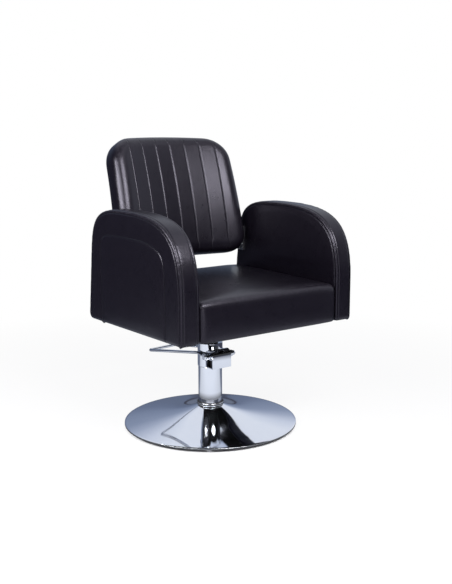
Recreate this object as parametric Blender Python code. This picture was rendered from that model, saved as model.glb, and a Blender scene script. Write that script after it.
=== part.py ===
"""Salon styling chair on a hydraulic pedestal, in metres with +Z up.

The origin is on the floor, on the axis of the column, and the chair faces -Y.
The foot lever pumps a plunger, a piston lifts the ram, and the seat turns on it.
"""

import math

import bmesh
import bpy
from mathutils import Matrix, Vector

# Clearance between pieces that touch or run in each other
GAP = 0.0003

# Base
BASE_RADIUS = 0.290
RIM_HEIGHT = 0.005
RIM_ROUND = 0.003
DISH_RISE = 0.055
DISH_CONE = 0.70
DISH_FLARE = 5
SHEET = 0.002
FOOT_COUNT = 6
FOOT_RADIUS = 0.011
FOOT_HEIGHT = 0.008
FOOT_INSET = 0.020
FOOT_TURN = math.radians(-127)
WEIGHT_INSET = 0.006
WEIGHT_THICKNESS = 0.014
WEIGHT_HUB_RADIUS = 0.060
WEIGHT_HUB_HEIGHT = 0.044
SOCKET_FLOOR = 0.006

# Column, cylinder and ram
COLUMN_RADIUS = 0.040
COLUMN_WALL = 0.003
COLUMN_TOP = 0.213
RING_WIDTH = 0.0038
RING_HEIGHT = 0.006
CYLINDER_RADIUS = 0.026
CYLINDER_WALL = 0.004
CYLINDER_FLOOR = 0.008
RAM_RADIUS = 0.016
PISTON_REST = 0.012
PISTON_HEIGHT = 0.016
SEAL_HEIGHT = 0.006
SEAL_DEPTH = 0.004
WASHER_THICKNESS = 0.003

# Pump head: a collar with a D-shaped block in front
HEAD_RADIUS = 0.042
HEAD_BOTTOM = 0.202
HEAD_TOP = 0.283
HEAD_CHAMFER = 0.0015
SHAFT_Y = -0.047
SHAFT_Z = 0.245
SHAFT_RADIUS = 0.007
BLOCK_HALF_WIDTH = 0.038
BLOCK_BOTTOM = 0.205
BARREL_RADIUS = 0.020
POCKET_HALF_WIDTH = 0.009
POCKET_WALL = 0.004
POCKET_FLOOR = 0.222
WINDOW_REAR = 0.0125
WINDOW_DEPTH = 0.0125
PLUNGER_Y = -0.0315
PLUNGER_RADIUS = 0.004
PLUNGER_HEAD_RADIUS = 0.006
PLUNGER_HEAD_HEIGHT = 0.004
PLUNGER_BOTTOM = 0.150
SPRING_WIRE = 0.0007
SPRING_TURNS = 4
FINGER_HALF_WIDTH = 0.007
FINGER_RADIUS = 0.0095
FINGER_NECK = 0.0040
FINGER_TIP_RADIUS = 0.0045
GLAND_RADIUS = 0.027
GLAND_HEIGHT = 0.012

# Foot lever: a bent rod from both hubs back to a pedal behind the column
HUB_RADIUS = 0.011
HUB_INNER = 0.0420
HUB_WIDTH = 0.0122
HUB_NECK = 0.0165
HUB_NECK_RADIUS = 0.0072
ROD_RADIUS = 0.005
LOOP_RISE = 0.0065
LOOP_NEAR_Y = 0.004
PEDAL_LEFT = (-0.089, 0.243)
PEDAL_RIGHT = (0.035, 0.256)
PEDAL_DROP = 0.0265
LOOP_BEND = 0.022
PEDAL_BEND = 0.011
NUT_RADIUS = 0.0085
NUT_HEIGHT = 0.0065
BALL_RADIUS = 0.0085

# Seat carrier
HUB_TUBE_RADIUS = 0.026
SEAT_HUB_BOTTOM = 0.330
FLANGE_RADIUS = 0.055
FLANGE_THICKNESS = 0.006
RAM_SOCKET_ROOF = 0.012
PLATE_HALF = 0.108
PLATE_ROUND = 0.022
PLATE_THICKNESS = 0.006
PLATE_BOLT_REACH = 0.085
BOLT_RADIUS = 0.004
BOLT_HEAD_RADIUS = 0.0075
BOLT_HEAD_HEIGHT = 0.005
COVER_THICKNESS = 0.0012
COVER_INSET = 0.012

# Seat
SEAT_BOTTOM = 0.371
SEAT_HEIGHT = 0.125
SEAT_FRONT = -0.323
SEAT_REAR = 0.182
SEAT_CROWN = 0.009
SEAT_RISE = 0.010
SEAT_EDGE = 0.022
SEAT_CORNER = 0.012
SEAT_SKIRT = 0.006
SEAT_DRAWN_IN = 0.001
BOARD_THICKNESS = 0.015
BOARD_INSET = 0.020
RAIL_WIDTH = 0.028
RAIL_HEIGHT = 0.045
RAIL_SKIN = 0.006
RAIL_END = 0.041

# Arms, as seen from the side: a straight front, a crest and a leaning rear edge
ARM_INSIDE = 0.267
ARM_THICKNESS = 0.068
ARM_FRONT = -0.323
ARM_BOTTOM = 0.370
ARM_TOP = 0.7385
ARM_CREST_Y = 0.018
ARM_FRONT_STRAIGHT = 0.505
ARM_FRONT_HANDLE = 0.212
ARM_CREST_FRONT_HANDLE = 0.229
ARM_CREST_REAR_HANDLE = 0.166
ARM_REAR_Y = 0.1985
ARM_REAR_Z = 0.561
ARM_REAR_HANDLE = 0.118
ARM_REAR_LEAN = math.radians(5.7)
ARM_FRONT_CORNER = 0.010
ARM_REAR_CORNER = 0.022
ARM_EDGE = 0.010
ARM_CROWN = 0.003
ARM_FLAT_INSET = 0.085
ARM_BOARD_THICKNESS = 0.018
ARM_BOARD_INSET = 0.012
ARM_BOARD_SUNK = 0.002
ARM_BOLT_Y = (-0.220, 0.050)
ARM_BOLT_HEAD_RADIUS = 0.007

# Backrest: a leaning arc, hollow across, with rounded corners and sewn channels
BACK_BOTTOM_Y = 0.1443
BACK_BOTTOM_Z = 0.556
BACK_LENGTH = 0.428
BACK_LEAN = math.radians(6.5)
BACK_ARC_RADIUS = 1.600
BACK_HOLLOW_RADIUS = 0.605
BACK_ARM_GAP = 0.015
BACK_TAPER = 0.018
BACK_CORNER_BOTTOM = 0.068
BACK_CORNER_TOP = 0.080
BACK_TOP_ARCH = 0.008
BACK_THICKNESS = 0.095
BACK_FRONT_EDGE = 0.042
BACK_REAR_EDGE = 0.018
BACK_SIDE_CROWN = 0.0015
CHANNEL_COUNT = 7
CHANNEL_PITCH = 0.058
CHANNEL_DEPTH = 0.004
CHANNEL_LIP = 0.005
CHANNEL_CROWN = 0.0015
BACK_POCKET_INSET = 0.021
BACK_BOARD_THICKNESS = 0.012
BACK_BOARD_EASE = 0.0010
BACK_PANEL_THICKNESS = 0.0095
BACK_PANEL_PROUD = 0.002
BACK_PANEL_EDGE = 0.006
COLUMN_SPACE = 0.004

# Side brackets between backrest and arms
BRACKET_THICKNESS = 0.004
BRACKET_FRONT = 0.157
BRACKET_LAP = 0.059
BRACKET_BEND_INSET = 0.009
BRACKET_LOW = 0.012
BRACKET_HIGH = 0.105
BRACKET_BOLT_Y = 0.168
BRACKET_BOLT_Z = (0.579, 0.617)
BRACKET_BOLT_RADIUS = 0.003
BRACKET_BOLT_HEAD_RADIUS = 0.007
BRACKET_BOLT_HEAD_HEIGHT = 0.005

# Facets
TURN_STEPS = 40
DISH_STEPS = 56
SMALL_STEPS = 16
CORNER_STEPS = 5

# Heights that follow from the sizes above
WEIGHT_BOTTOM = FOOT_HEIGHT + GAP
RIM_TOP = WEIGHT_BOTTOM + RIM_HEIGHT
NECK_RADIUS = COLUMN_RADIUS + GAP
NECK_TOP = RIM_TOP + DISH_RISE
SOCKET_BOTTOM = WEIGHT_BOTTOM + SOCKET_FLOOR
CYLINDER_BOTTOM = SOCKET_BOTTOM + GAP
CYLINDER_BORE = CYLINDER_RADIUS - CYLINDER_WALL
PISTON_BOTTOM = CYLINDER_BOTTOM + CYLINDER_FLOOR + PISTON_REST
PISTON_TOP = PISTON_BOTTOM + PISTON_HEIGHT
WASHER_BOTTOM = PISTON_TOP + GAP
RAM_BOTTOM = WASHER_BOTTOM + WASHER_THICKNESS + GAP
RAM_BORE = RAM_RADIUS + GAP
COVER_TOP = SEAT_BOTTOM - GAP
COVER_BOTTOM = COVER_TOP - COVER_THICKNESS
PLATE_TOP = COVER_BOTTOM - GAP
PLATE_BOTTOM = PLATE_TOP - PLATE_THICKNESS
FLANGE_TOP = PLATE_BOTTOM - GAP
RAM_SOCKET_TOP = FLANGE_TOP - RAM_SOCKET_ROOF
BOARD_BOTTOM = SEAT_BOTTOM + GAP
BOARD_TOP = BOARD_BOTTOM + BOARD_THICKNESS
RAIL_BOTTOM = BOARD_TOP + GAP
RAIL_TOP = RAIL_BOTTOM + RAIL_HEIGHT
SEAT_TOP = SEAT_BOTTOM + SEAT_HEIGHT
SEAT_HALF_WIDTH = ARM_INSIDE - 2 * GAP
RAIL_OUTER = SEAT_HALF_WIDTH - RAIL_SKIN
RAIL_INNER = RAIL_OUTER - RAIL_WIDTH
RAIL_FRONT = SEAT_FRONT + RAIL_END
RAIL_REAR = SEAT_REAR - RAIL_END
ARM_BOLT_Z = (RAIL_BOTTOM + RAIL_TOP) / 2
ARM_MIDDLE = ARM_INSIDE + ARM_THICKNESS / 2
ARM_BOLT_END = ARM_MIDDLE + ARM_BOARD_THICKNESS / 4
PLUNGER_TOP = SHAFT_Z - FINGER_TIP_RADIUS - GAP
PLUNGER_NECK = PLUNGER_TOP - PLUNGER_HEAD_HEIGHT
LOOP_Z = SHAFT_Z + LOOP_RISE
PEDAL_Z = SHAFT_Z - PEDAL_DROP
BACK_HALF_BOTTOM = ARM_INSIDE - BACK_ARM_GAP
BACK_HALF_TOP = BACK_HALF_BOTTOM - BACK_TAPER
BRACKET_INNER = BACK_HALF_BOTTOM - BRACKET_LAP
BRACKET_BEND = BACK_HALF_BOTTOM - BRACKET_BEND_INSET
BACK_PANEL_DEPTH = BACK_THICKNESS + BACK_PANEL_PROUD - BACK_PANEL_THICKNESS
BACK_BOARD_DEPTH = BACK_PANEL_DEPTH - GAP - BACK_BOARD_THICKNESS
BACK_POCKET_DEPTH = BACK_BOARD_DEPTH - BACK_BOARD_EASE


def clear_scene():
    for obj in list(bpy.data.objects):
        bpy.data.objects.remove(obj, do_unlink=True)


def make_material(name, colour, roughness, metallic):
    material = bpy.data.materials.new(name)
    material.use_nodes = True
    shader = material.node_tree.nodes["Principled BSDF"]
    shader.inputs["Base Color"].default_value = (*colour, 1.0)
    shader.inputs["Roughness"].default_value = roughness
    shader.inputs["Metallic"].default_value = metallic
    return material


def make_axis(name, place, parent=None):
    """An empty on a joint's axis, which carries the pieces that move with it."""
    axis = bpy.data.objects.new(name, None)
    bpy.context.scene.collection.objects.link(axis)
    axis.parent = parent
    axis.location = Vector(place) - (parent.matrix_world.translation if parent else Vector())
    bpy.context.view_layer.update()
    return axis


def carry(obj, axis):
    """Puts an object on its axis while its points stay in the chair's own frame."""
    bpy.context.scene.collection.objects.link(obj)
    if axis:
        obj.parent = axis
        obj.matrix_parent_inverse = axis.matrix_world.inverted()
    return obj


def finish(name, bm, material=None, axis=None):
    """A closed object from a bmesh; with no material it is a cutter."""
    bmesh.ops.remove_doubles(bm, verts=bm.verts, dist=1e-6)
    bmesh.ops.recalc_face_normals(bm, faces=bm.faces)
    mesh = bpy.data.meshes.new(name)
    bm.to_mesh(mesh)
    bm.free()
    obj = carry(bpy.data.objects.new(name, mesh), axis)
    if material:
        mesh.materials.append(material)
        mesh.shade_smooth()
        mesh.set_sharp_from_angle(angle=math.radians(35))
    else:
        obj.hide_render = True
        obj.display_type = "WIRE"
    return obj


def combine(obj, other, operation="DIFFERENCE"):
    modifier = obj.modifiers.new(other.name, "BOOLEAN")
    modifier.operation = operation
    modifier.solver = "EXACT"
    modifier.object = other


def arc(centre, radius, start, end, steps):
    """Points of an arc in a plane, both ends included; angles in degrees."""
    turns = [math.radians(start + (end - start) * i / steps) for i in range(steps + 1)]
    return [(centre[0] + radius * math.cos(t), centre[1] + radius * math.sin(t)) for t in turns]


def bezier(p0, p1, p2, p3, steps):
    """Points along a cubic curve, both ends included."""
    points = []
    for i in range(steps + 1):
        t = i / steps
        weights = ((1 - t) ** 3, 3 * t * (1 - t) ** 2, 3 * t * t * (1 - t), t**3)
        points.append(tuple(sum(w * p[k] for w, p in zip(weights, (p0, p1, p2, p3))) for k in (0, 1)))
    return points


def between(first, last, parts):
    """Points that divide a line, its ends left out."""
    return [tuple(a + (b - a) * i / parts for a, b in zip(first, last)) for i in range(1, parts)]


def turned(profile, steps=TURN_STEPS):
    """Closed body turned about Z from an outline of (radius, height) points."""
    bm = bmesh.new()
    points = [bm.verts.new((radius, 0.0, height)) for radius, height in profile]
    lines = []
    for i, point in enumerate(points):
        following = points[(i + 1) % len(points)]
        if point.co.x > 0 or following.co.x > 0:
            lines.append(bm.edges.new((point, following)))
    bmesh.ops.spin(bm, geom=points + lines, cent=(0, 0, 0), axis=(0, 0, 1),
                   angle=2 * math.pi, steps=steps, use_merge=True)
    bmesh.ops.remove_doubles(bm, verts=bm.verts, dist=1e-6)
    return bm


def along_x(bm, x, y, z, side=1):
    """Lays a body turned about Z along X, its height pointing to the given side."""
    bmesh.ops.transform(bm, matrix=Matrix.Rotation(side * math.pi / 2, 4, "Y"), verts=bm.verts)
    bmesh.ops.translate(bm, vec=(x, y, z), verts=bm.verts)
    return bm


def moved(bm, x=0.0, y=0.0, z=0.0):
    bmesh.ops.translate(bm, vec=(x, y, z), verts=bm.verts)
    return bm


def rod(radius, length, steps=SMALL_STEPS):
    return turned([(0, 0), (0, length), (radius, length), (radius, 0)], steps)


def loft(rings, closed_ends=True):
    """Skin through rings of equal counts, with a face on each end."""
    bm = bmesh.new()
    loops = [[bm.verts.new(point) for point in ring] for ring in rings]
    count = len(loops[0])
    for first, second in zip(loops, loops[1:]):
        for i in range(count):
            j = (i + 1) % count
            bm.faces.new((first[i], first[j], second[j], second[i]))
    if closed_ends:
        bm.faces.new(loops[0])
        bm.faces.new(loops[-1])
    return bm


def plate(outline, low, high):
    """Flat outline in X and Y, raised from one height to another."""
    return loft([[(x, y, low) for x, y in outline], [(x, y, high) for x, y in outline]])


def slab(outline, low, high, side=1):
    """Flat outline in Y and Z, widened along X."""
    return loft([[(side * low, y, z) for y, z in outline], [(side * high, y, z) for y, z in outline]])


def block(low, high):
    (x0, y0, z0), (x1, y1, z1) = low, high
    return plate([(x0, y0), (x1, y0), (x1, y1), (x0, y1)], z0, z1)


def rounded_box(half_width, front, rear, radius, parts=1):
    """Rounded rectangle in plan, its straight sides divided into parts."""
    corners = (
        (half_width - radius, rear - radius, 0),
        (radius - half_width, rear - radius, 90),
        (radius - half_width, front + radius, 180),
        (half_width - radius, front + radius, 270),
    )
    points = []
    for x, y, turn in corners:
        corner = arc((x, y), radius, turn, turn + 90, CORNER_STEPS)
        if points:
            points += between(points[-1], corner[0], parts)
        points += corner
    return points + between(points[-1], points[0], parts)


# Base


def dish_height(radius):
    share = (BASE_RADIUS - radius) / (BASE_RADIUS - NECK_RADIUS)
    share = max(share, 0.0)
    return RIM_TOP + DISH_RISE * (DISH_CONE * share + (1 - DISH_CONE) * share**DISH_FLARE)


def make_base_dish(material):
    """Spun sheet: a shallow cone that flares up at its neck and turns down at its rim."""
    flat = BASE_RADIUS - RIM_ROUND
    radii = [NECK_RADIUS + (flat - NECK_RADIUS) * (i / 8) ** 1.5 for i in range(9)]
    lip = arc((flat, RIM_TOP - RIM_ROUND), RIM_ROUND, 60, 0, 2)
    outer = [(r, dish_height(r)) for r in radii] + lip + [(BASE_RADIUS, WEIGHT_BOTTOM)]
    inner_lip = arc((flat, RIM_TOP - RIM_ROUND), RIM_ROUND - SHEET, 0, 60, 1)
    inner = [(BASE_RADIUS - SHEET, WEIGHT_BOTTOM)] + inner_lip
    inner += [(r, dish_height(r) - SHEET) for r in radii[::-2]]
    return finish("base_dish", turned(outer + inner, DISH_STEPS), material)


def make_base_weight(material):
    """Cast plate under the dish, with a hub that holds the column."""
    edge = BASE_RADIUS - WEIGHT_INSET
    top = WEIGHT_BOTTOM + WEIGHT_THICKNESS
    radii = [WEIGHT_HUB_RADIUS + (edge - WEIGHT_HUB_RADIUS) * i / 5 for i in range(6)]
    roof = [(r, min(top, dish_height(r) - SHEET - 2 * GAP)) for r in radii]
    hub_top = WEIGHT_BOTTOM + WEIGHT_HUB_HEIGHT
    profile = [(0, SOCKET_BOTTOM), (NECK_RADIUS, SOCKET_BOTTOM), (NECK_RADIUS, hub_top)]
    profile += [(WEIGHT_HUB_RADIUS, hub_top)] + roof + [(edge, WEIGHT_BOTTOM), (0, WEIGHT_BOTTOM)]
    return finish("base_weight", turned(profile, DISH_STEPS // 2), material)


def make_feet(material):
    circle = BASE_RADIUS - FOOT_INSET
    for i in range(FOOT_COUNT):
        turn = FOOT_TURN + 2 * math.pi * i / FOOT_COUNT
        waist = 0.8 * FOOT_RADIUS
        profile = [(0, FOOT_HEIGHT), (FOOT_RADIUS, FOOT_HEIGHT), (FOOT_RADIUS, FOOT_HEIGHT / 2), (waist, 0), (0, 0)]
        bm = moved(turned(profile, 12), circle * math.cos(turn), circle * math.sin(turn))
        finish(f"foot_{i + 1}", bm, material)


def make_column_ring(material):
    """Two beads with a groove between them, on the neck of the dish."""
    bead = RING_HEIGHT / 4
    middle = NECK_RADIUS + RING_WIDTH - bead
    low = NECK_TOP + GAP + bead
    profile = [(NECK_RADIUS, low + 3 * bead)] + arc((middle, low + 2 * bead), bead, 90, -60, 3)
    profile += arc((middle, low), bead, 60, -90, 3) + [(NECK_RADIUS, low - bead)]
    return finish("column_ring", turned(profile, 32), material)


def make_column(chrome, steel):
    inner = COLUMN_RADIUS - COLUMN_WALL
    tube = [(inner, COLUMN_TOP), (COLUMN_RADIUS, COLUMN_TOP)]
    tube += [(COLUMN_RADIUS, CYLINDER_BOTTOM), (inner, CYLINDER_BOTTOM)]
    finish("column_tube", turned(tube), chrome)
    floor = CYLINDER_BOTTOM + CYLINDER_FLOOR
    cylinder = [(0, floor), (CYLINDER_BORE, floor), (CYLINDER_BORE, COLUMN_TOP)]
    cylinder += [(CYLINDER_RADIUS, COLUMN_TOP), (CYLINDER_RADIUS, CYLINDER_BOTTOM), (0, CYLINDER_BOTTOM)]
    finish("pump_cylinder", turned(cylinder, 32), steel)


# Pump head and lever


def block_outline(low):
    """D-shaped section of the block, its round top about the lever shaft."""
    rear = SHAFT_Y + BARREL_RADIUS
    return [(rear, low), (SHAFT_Y - BARREL_RADIUS, low)] + arc((SHAFT_Y, SHAFT_Z), BARREL_RADIUS, 180, 0, 12)


def make_pump_head(material):
    """Collar and block in one casting, bored for column, ram, shaft and plunger."""
    lip = HEAD_RADIUS - HEAD_CHAMFER
    collar = [(0, HEAD_TOP), (lip, HEAD_TOP), (HEAD_RADIUS, HEAD_TOP - HEAD_CHAMFER)]
    collar += [(HEAD_RADIUS, HEAD_BOTTOM + HEAD_CHAMFER), (lip, HEAD_BOTTOM), (0, HEAD_BOTTOM)]
    head = finish("pump_head", turned(collar), material)
    front = slab(block_outline(BLOCK_BOTTOM), -BLOCK_HALF_WIDTH, BLOCK_HALF_WIDTH)
    combine(head, finish("cutter_block", front), "UNION")
    over = HEAD_TOP + HEAD_CHAMFER
    under = HEAD_BOTTOM - HEAD_CHAMFER
    bore = [(0, over), (RAM_BORE, over), (RAM_BORE, COLUMN_TOP + GAP)]
    bore += [(NECK_RADIUS, COLUMN_TOP + GAP), (NECK_RADIUS, under), (0, under)]
    combine(head, finish("cutter_bores", turned(bore)))
    pocket_front = SHAFT_Y - BARREL_RADIUS + POCKET_WALL
    pocket_rear = PLUNGER_Y + PLUNGER_HEAD_RADIUS + 3 * GAP
    pocket_top = SHAFT_Z + BARREL_RADIUS - POCKET_WALL
    pocket = block((-POCKET_HALF_WIDTH, pocket_front, POCKET_FLOOR), (POCKET_HALF_WIDTH, pocket_rear, pocket_top))
    combine(head, finish("cutter_pocket", pocket))
    reach = BLOCK_HALF_WIDTH + POCKET_WALL
    shaft = along_x(rod(SHAFT_RADIUS + GAP, 2 * reach, 24), -reach, SHAFT_Y, SHAFT_Z)
    combine(head, finish("cutter_shaft", shaft))
    floor = POCKET_FLOOR - COLUMN_TOP
    guide = moved(rod(PLUNGER_RADIUS + GAP, floor + 2 * GAP), 0, PLUNGER_Y, COLUMN_TOP)
    combine(head, finish("cutter_plunger", guide))
    sill = BLOCK_BOTTOM + POCKET_WALL
    lintel = SHAFT_Z - SHAFT_RADIUS - POCKET_WALL
    inside = WINDOW_DEPTH - BLOCK_HALF_WIDTH
    window = block((-reach, pocket_front, sill), (inside, SHAFT_Y + WINDOW_REAR, lintel))
    combine(head, finish("cutter_window", window))


def make_plunger(axis, steel):
    profile = [(0, PLUNGER_TOP), (PLUNGER_HEAD_RADIUS, PLUNGER_TOP), (PLUNGER_HEAD_RADIUS, PLUNGER_NECK)]
    profile += [(PLUNGER_RADIUS, PLUNGER_NECK), (PLUNGER_RADIUS, PLUNGER_BOTTOM), (0, PLUNGER_BOTTOM)]
    finish("pump_plunger", moved(turned(profile, SMALL_STEPS), 0, PLUNGER_Y), steel, axis)


def make_tube(name, points, radius, sides, material, axis=None):
    """Round bar along a line of points."""
    curve = bpy.data.curves.new(name, "CURVE")
    curve.dimensions = "3D"
    curve.bevel_depth = radius
    curve.bevel_resolution = sides
    curve.use_fill_caps = True
    spline = curve.splines.new("POLY")
    spline.points.add(len(points) - 1)
    for target, point in zip(spline.points, points):
        target.co = (*point, 1.0)
    curve.materials.append(material)
    return carry(bpy.data.objects.new(name, curve), axis)


def make_return_spring(steel):
    """Coil between the floor of the pocket and the plunger's head."""
    coil = (PLUNGER_RADIUS + PLUNGER_HEAD_RADIUS) / 2 + SPRING_WIRE / 2
    low = POCKET_FLOOR + GAP + SPRING_WIRE
    high = PLUNGER_NECK - GAP - SPRING_WIRE
    steps = 8 * SPRING_TURNS
    points = []
    for i in range(steps + 1):
        turn = 2 * math.pi * SPRING_TURNS * i / steps
        height = low + (high - low) * i / steps
        points.append((coil * math.cos(turn), PLUNGER_Y + coil * math.sin(turn), height))
    pitch = (high - low) / SPRING_TURNS
    print(f"return_spring: gap between turns {1000 * (pitch - 2 * SPRING_WIRE):.2f} mm")
    make_tube("return_spring", points, SPRING_WIRE, 1, steel)


def eye_outline(radius, reach, neck, turn, tip=None):
    """Round eye about the shaft with a neck that ends flat, or round where a tip radius is given."""
    mouth = math.degrees(math.asin(neck / radius))
    eye = arc((0, 0), radius, mouth, 360 - mouth, 14)
    end = [(reach, -neck), (reach, neck)]
    if tip:
        throat = 180 - math.degrees(math.asin(neck / tip))
        end = arc((reach, 0), tip, -throat, throat, 8)
    swing = Matrix.Rotation(turn, 2)
    return [tuple(swing @ Vector(p) + Vector((SHAFT_Y, SHAFT_Z))) for p in eye + end]


def make_eye(name, outline, low, high, material, axis):
    eye = finish(name, slab(outline, low, high), material, axis)
    length = high - low + 2 * HEAD_CHAMFER
    bore = along_x(rod(SHAFT_RADIUS + GAP, length, 24), low - HEAD_CHAMFER, SHAFT_Y, SHAFT_Z)
    combine(eye, finish(f"cutter_{name}", bore, None, axis))


def bent(corners, radii, steps):
    """Line through corners, each rounded to its bend radius."""
    points = [corners[0]]
    for before, corner, after, radius in zip(corners, corners[1:], corners[2:], radii):
        back = (before - corner).normalized()
        ahead = (after - corner).normalized()
        half = back.angle(ahead) / 2
        centre = corner + (back + ahead).normalized() * radius / math.sin(half)
        first = corner + back * radius / math.tan(half) - centre
        last = corner + ahead * radius / math.tan(half) - centre
        points += [centre + first.slerp(last, i / steps) * radius for i in range(steps + 1)]
    return points + [corners[-1]]


def loop_points():
    """The lever's rod from the left hub, back and down to the pedal, and to the right hub."""
    hub = HUB_INNER + HUB_WIDTH / 2
    rise = Vector((0, LOOP_NEAR_Y - SHAFT_Y, LOOP_RISE)).normalized()
    ends = [Vector((x, SHAFT_Y, SHAFT_Z)) + (HUB_NECK + GAP) * rise for x in (-hub, hub)]
    knees = [Vector((x, LOOP_NEAR_Y, LOOP_Z)) for x in (-hub, hub)]
    pedal = [Vector((*place, PEDAL_Z)) for place in (PEDAL_LEFT, PEDAL_RIGHT)]
    corners = [ends[0], knees[0], pedal[0], pedal[1], knees[1], ends[1]]
    return bent(corners, [LOOP_BEND, PEDAL_BEND, PEDAL_BEND, LOOP_BEND], 6)


def make_lever(axis, chrome, steel):
    end = HUB_INNER + HUB_WIDTH + GAP
    finish("lever_shaft", along_x(rod(SHAFT_RADIUS, 2 * end, 24), -end, SHAFT_Y, SHAFT_Z), steel, axis)
    tip = eye_outline(FINGER_RADIUS, PLUNGER_Y - SHAFT_Y, FINGER_NECK, 0, FINGER_TIP_RADIUS)
    make_eye("lever_finger", tip, -FINGER_HALF_WIDTH, FINGER_HALF_WIDTH, steel, axis)
    turn = math.atan2(LOOP_RISE, LOOP_NEAR_Y - SHAFT_Y)
    outline = eye_outline(HUB_RADIUS, HUB_NECK, HUB_NECK_RADIUS, turn)
    for name, side in (("lever_hub_left", -1), ("lever_hub_right", 1)):
        low, high = sorted((side * HUB_INNER, side * (HUB_INNER + HUB_WIDTH)))
        make_eye(name, outline, low, high, chrome, axis)
    make_tube("lever_loop", loop_points(), ROD_RADIUS, 3, chrome, axis)
    nut = rod(NUT_RADIUS, NUT_HEIGHT, 6)
    finish("lever_nut", along_x(nut, -end - GAP, SHAFT_Y, SHAFT_Z, -1), chrome, axis)
    seat_angle = math.degrees(math.asin(SHAFT_RADIUS / BALL_RADIUS))
    depth = BALL_RADIUS * math.cos(math.radians(seat_angle))
    profile = [(0, 0)] + arc((0, depth), BALL_RADIUS, seat_angle - 90, 90, 7)
    profile[-1] = (0, depth + BALL_RADIUS)
    finish("lever_ball", along_x(turned(profile, 20), end + GAP, SHAFT_Y, SHAFT_Z), chrome, axis)


def make_gland(material):
    low = HEAD_TOP + GAP
    lip = RAM_BORE + 0.2 * (GLAND_RADIUS - RAM_BORE)
    profile = [(RAM_BORE, low + GLAND_HEIGHT), (lip, low + GLAND_HEIGHT), (GLAND_RADIUS, low + GLAND_HEIGHT / 2)]
    profile += [(GLAND_RADIUS, low), (RAM_BORE, low)]
    finish("gland_cap", turned(profile, 24), material)


def make_piston(axis, steel, rubber, bronze):
    """Piston with a seal in its groove, and the washer that the ram turns on."""
    edge = CYLINDER_BORE - GAP
    floor = edge - SEAL_DEPTH
    low = PISTON_BOTTOM + (PISTON_HEIGHT - SEAL_HEIGHT) / 2
    profile = [(0, PISTON_TOP), (edge, PISTON_TOP), (edge, low + SEAL_HEIGHT), (floor, low + SEAL_HEIGHT)]
    profile += [(floor, low), (edge, low), (edge, PISTON_BOTTOM), (0, PISTON_BOTTOM)]
    finish("piston", turned(profile, 24), steel, axis)
    seal = [(floor + GAP, low + SEAL_HEIGHT - GAP), (edge, low + SEAL_HEIGHT - GAP)]
    seal += [(edge, low + GAP), (floor + GAP, low + GAP)]
    finish("piston_seal", turned(seal, 24), rubber, axis)
    finish("thrust_washer", moved(rod(RAM_RADIUS, WASHER_THICKNESS, 32), z=WASHER_BOTTOM), bronze, axis)


# Seat carrier


def plate_bolt_places():
    return [(x * PLATE_BOLT_REACH, y * PLATE_BOLT_REACH) for x in (-1, 1) for y in (-1, 1)]


def bolt_holes(name, axis):
    """Four upright bolt holes through plate, dust cover and seat board."""
    bm = bmesh.new()
    mesh = bpy.data.meshes.new(name)
    for x, y in plate_bolt_places():
        hole = moved(rod(BOLT_RADIUS + GAP, BOARD_TOP - FLANGE_TOP - GAP, 12), x, y, FLANGE_TOP)
        hole.to_mesh(mesh)
        hole.free()
        bm.from_mesh(mesh)
    bpy.data.meshes.remove(mesh)
    return finish(name, bm, None, axis)


def make_seat_carrier(axis, chrome, steel, cloth, wood):
    ram_top = RAM_SOCKET_TOP - GAP
    finish("ram", moved(rod(RAM_RADIUS, ram_top - RAM_BOTTOM, 32), z=RAM_BOTTOM), chrome, axis)
    flange_bottom = FLANGE_TOP - FLANGE_THICKNESS
    fillet = FLANGE_RADIUS - HUB_TUBE_RADIUS
    hub = [(0, FLANGE_TOP), (FLANGE_RADIUS, FLANGE_TOP), (FLANGE_RADIUS, flange_bottom)]
    hub += [(HUB_TUBE_RADIUS + 0.3 * fillet, flange_bottom), (HUB_TUBE_RADIUS, flange_bottom - 0.3 * fillet)]
    hub += [(HUB_TUBE_RADIUS, SEAT_HUB_BOTTOM), (RAM_BORE, SEAT_HUB_BOTTOM), (RAM_BORE, RAM_SOCKET_TOP)]
    finish("seat_hub", turned(hub + [(0, RAM_SOCKET_TOP)], 32), steel, axis)
    holes = bolt_holes("cutter_plate_bolts", axis)
    outline = rounded_box(PLATE_HALF, -PLATE_HALF, PLATE_HALF, PLATE_ROUND)
    combine(finish("seat_plate", plate(outline, PLATE_BOTTOM, PLATE_TOP), steel, axis), holes)
    wide = SEAT_HALF_WIDTH - COVER_INSET
    outline = rounded_box(wide, SEAT_FRONT + COVER_INSET, SEAT_REAR - COVER_INSET, SEAT_CORNER)
    combine(finish("dust_cover", plate(outline, COVER_BOTTOM, COVER_TOP), cloth, axis), holes)
    combine(finish("seat_board", plate(board_outline(0), BOARD_BOTTOM, BOARD_TOP), wood, axis), holes)
    head_top = PLATE_BOTTOM - GAP
    head_bottom = head_top - BOLT_HEAD_HEIGHT
    length = BOARD_TOP - 2 * BOLT_RADIUS
    for i, (x, y) in enumerate(plate_bolt_places()):
        profile = [(0, length), (BOLT_RADIUS, length), (BOLT_RADIUS, head_top)]
        profile += [(BOLT_HEAD_RADIUS, head_top), (BOLT_HEAD_RADIUS, head_bottom), (0, head_bottom)]
        finish(f"plate_bolt_{i + 1}", moved(turned(profile, 6), x, y), steel, axis)


# Seat


def board_outline(grow):
    inset = BOARD_INSET - grow
    return rounded_box(SEAT_HALF_WIDTH - inset, SEAT_FRONT + inset, SEAT_REAR - inset, SEAT_CORNER)


def rail_box(side, grow):
    low, high = sorted((side * (RAIL_INNER - grow), side * (RAIL_OUTER + grow)))
    bottom = RAIL_BOTTOM - grow
    return (low, RAIL_FRONT - grow, bottom), (high, RAIL_REAR + grow, RAIL_TOP + grow)


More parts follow.
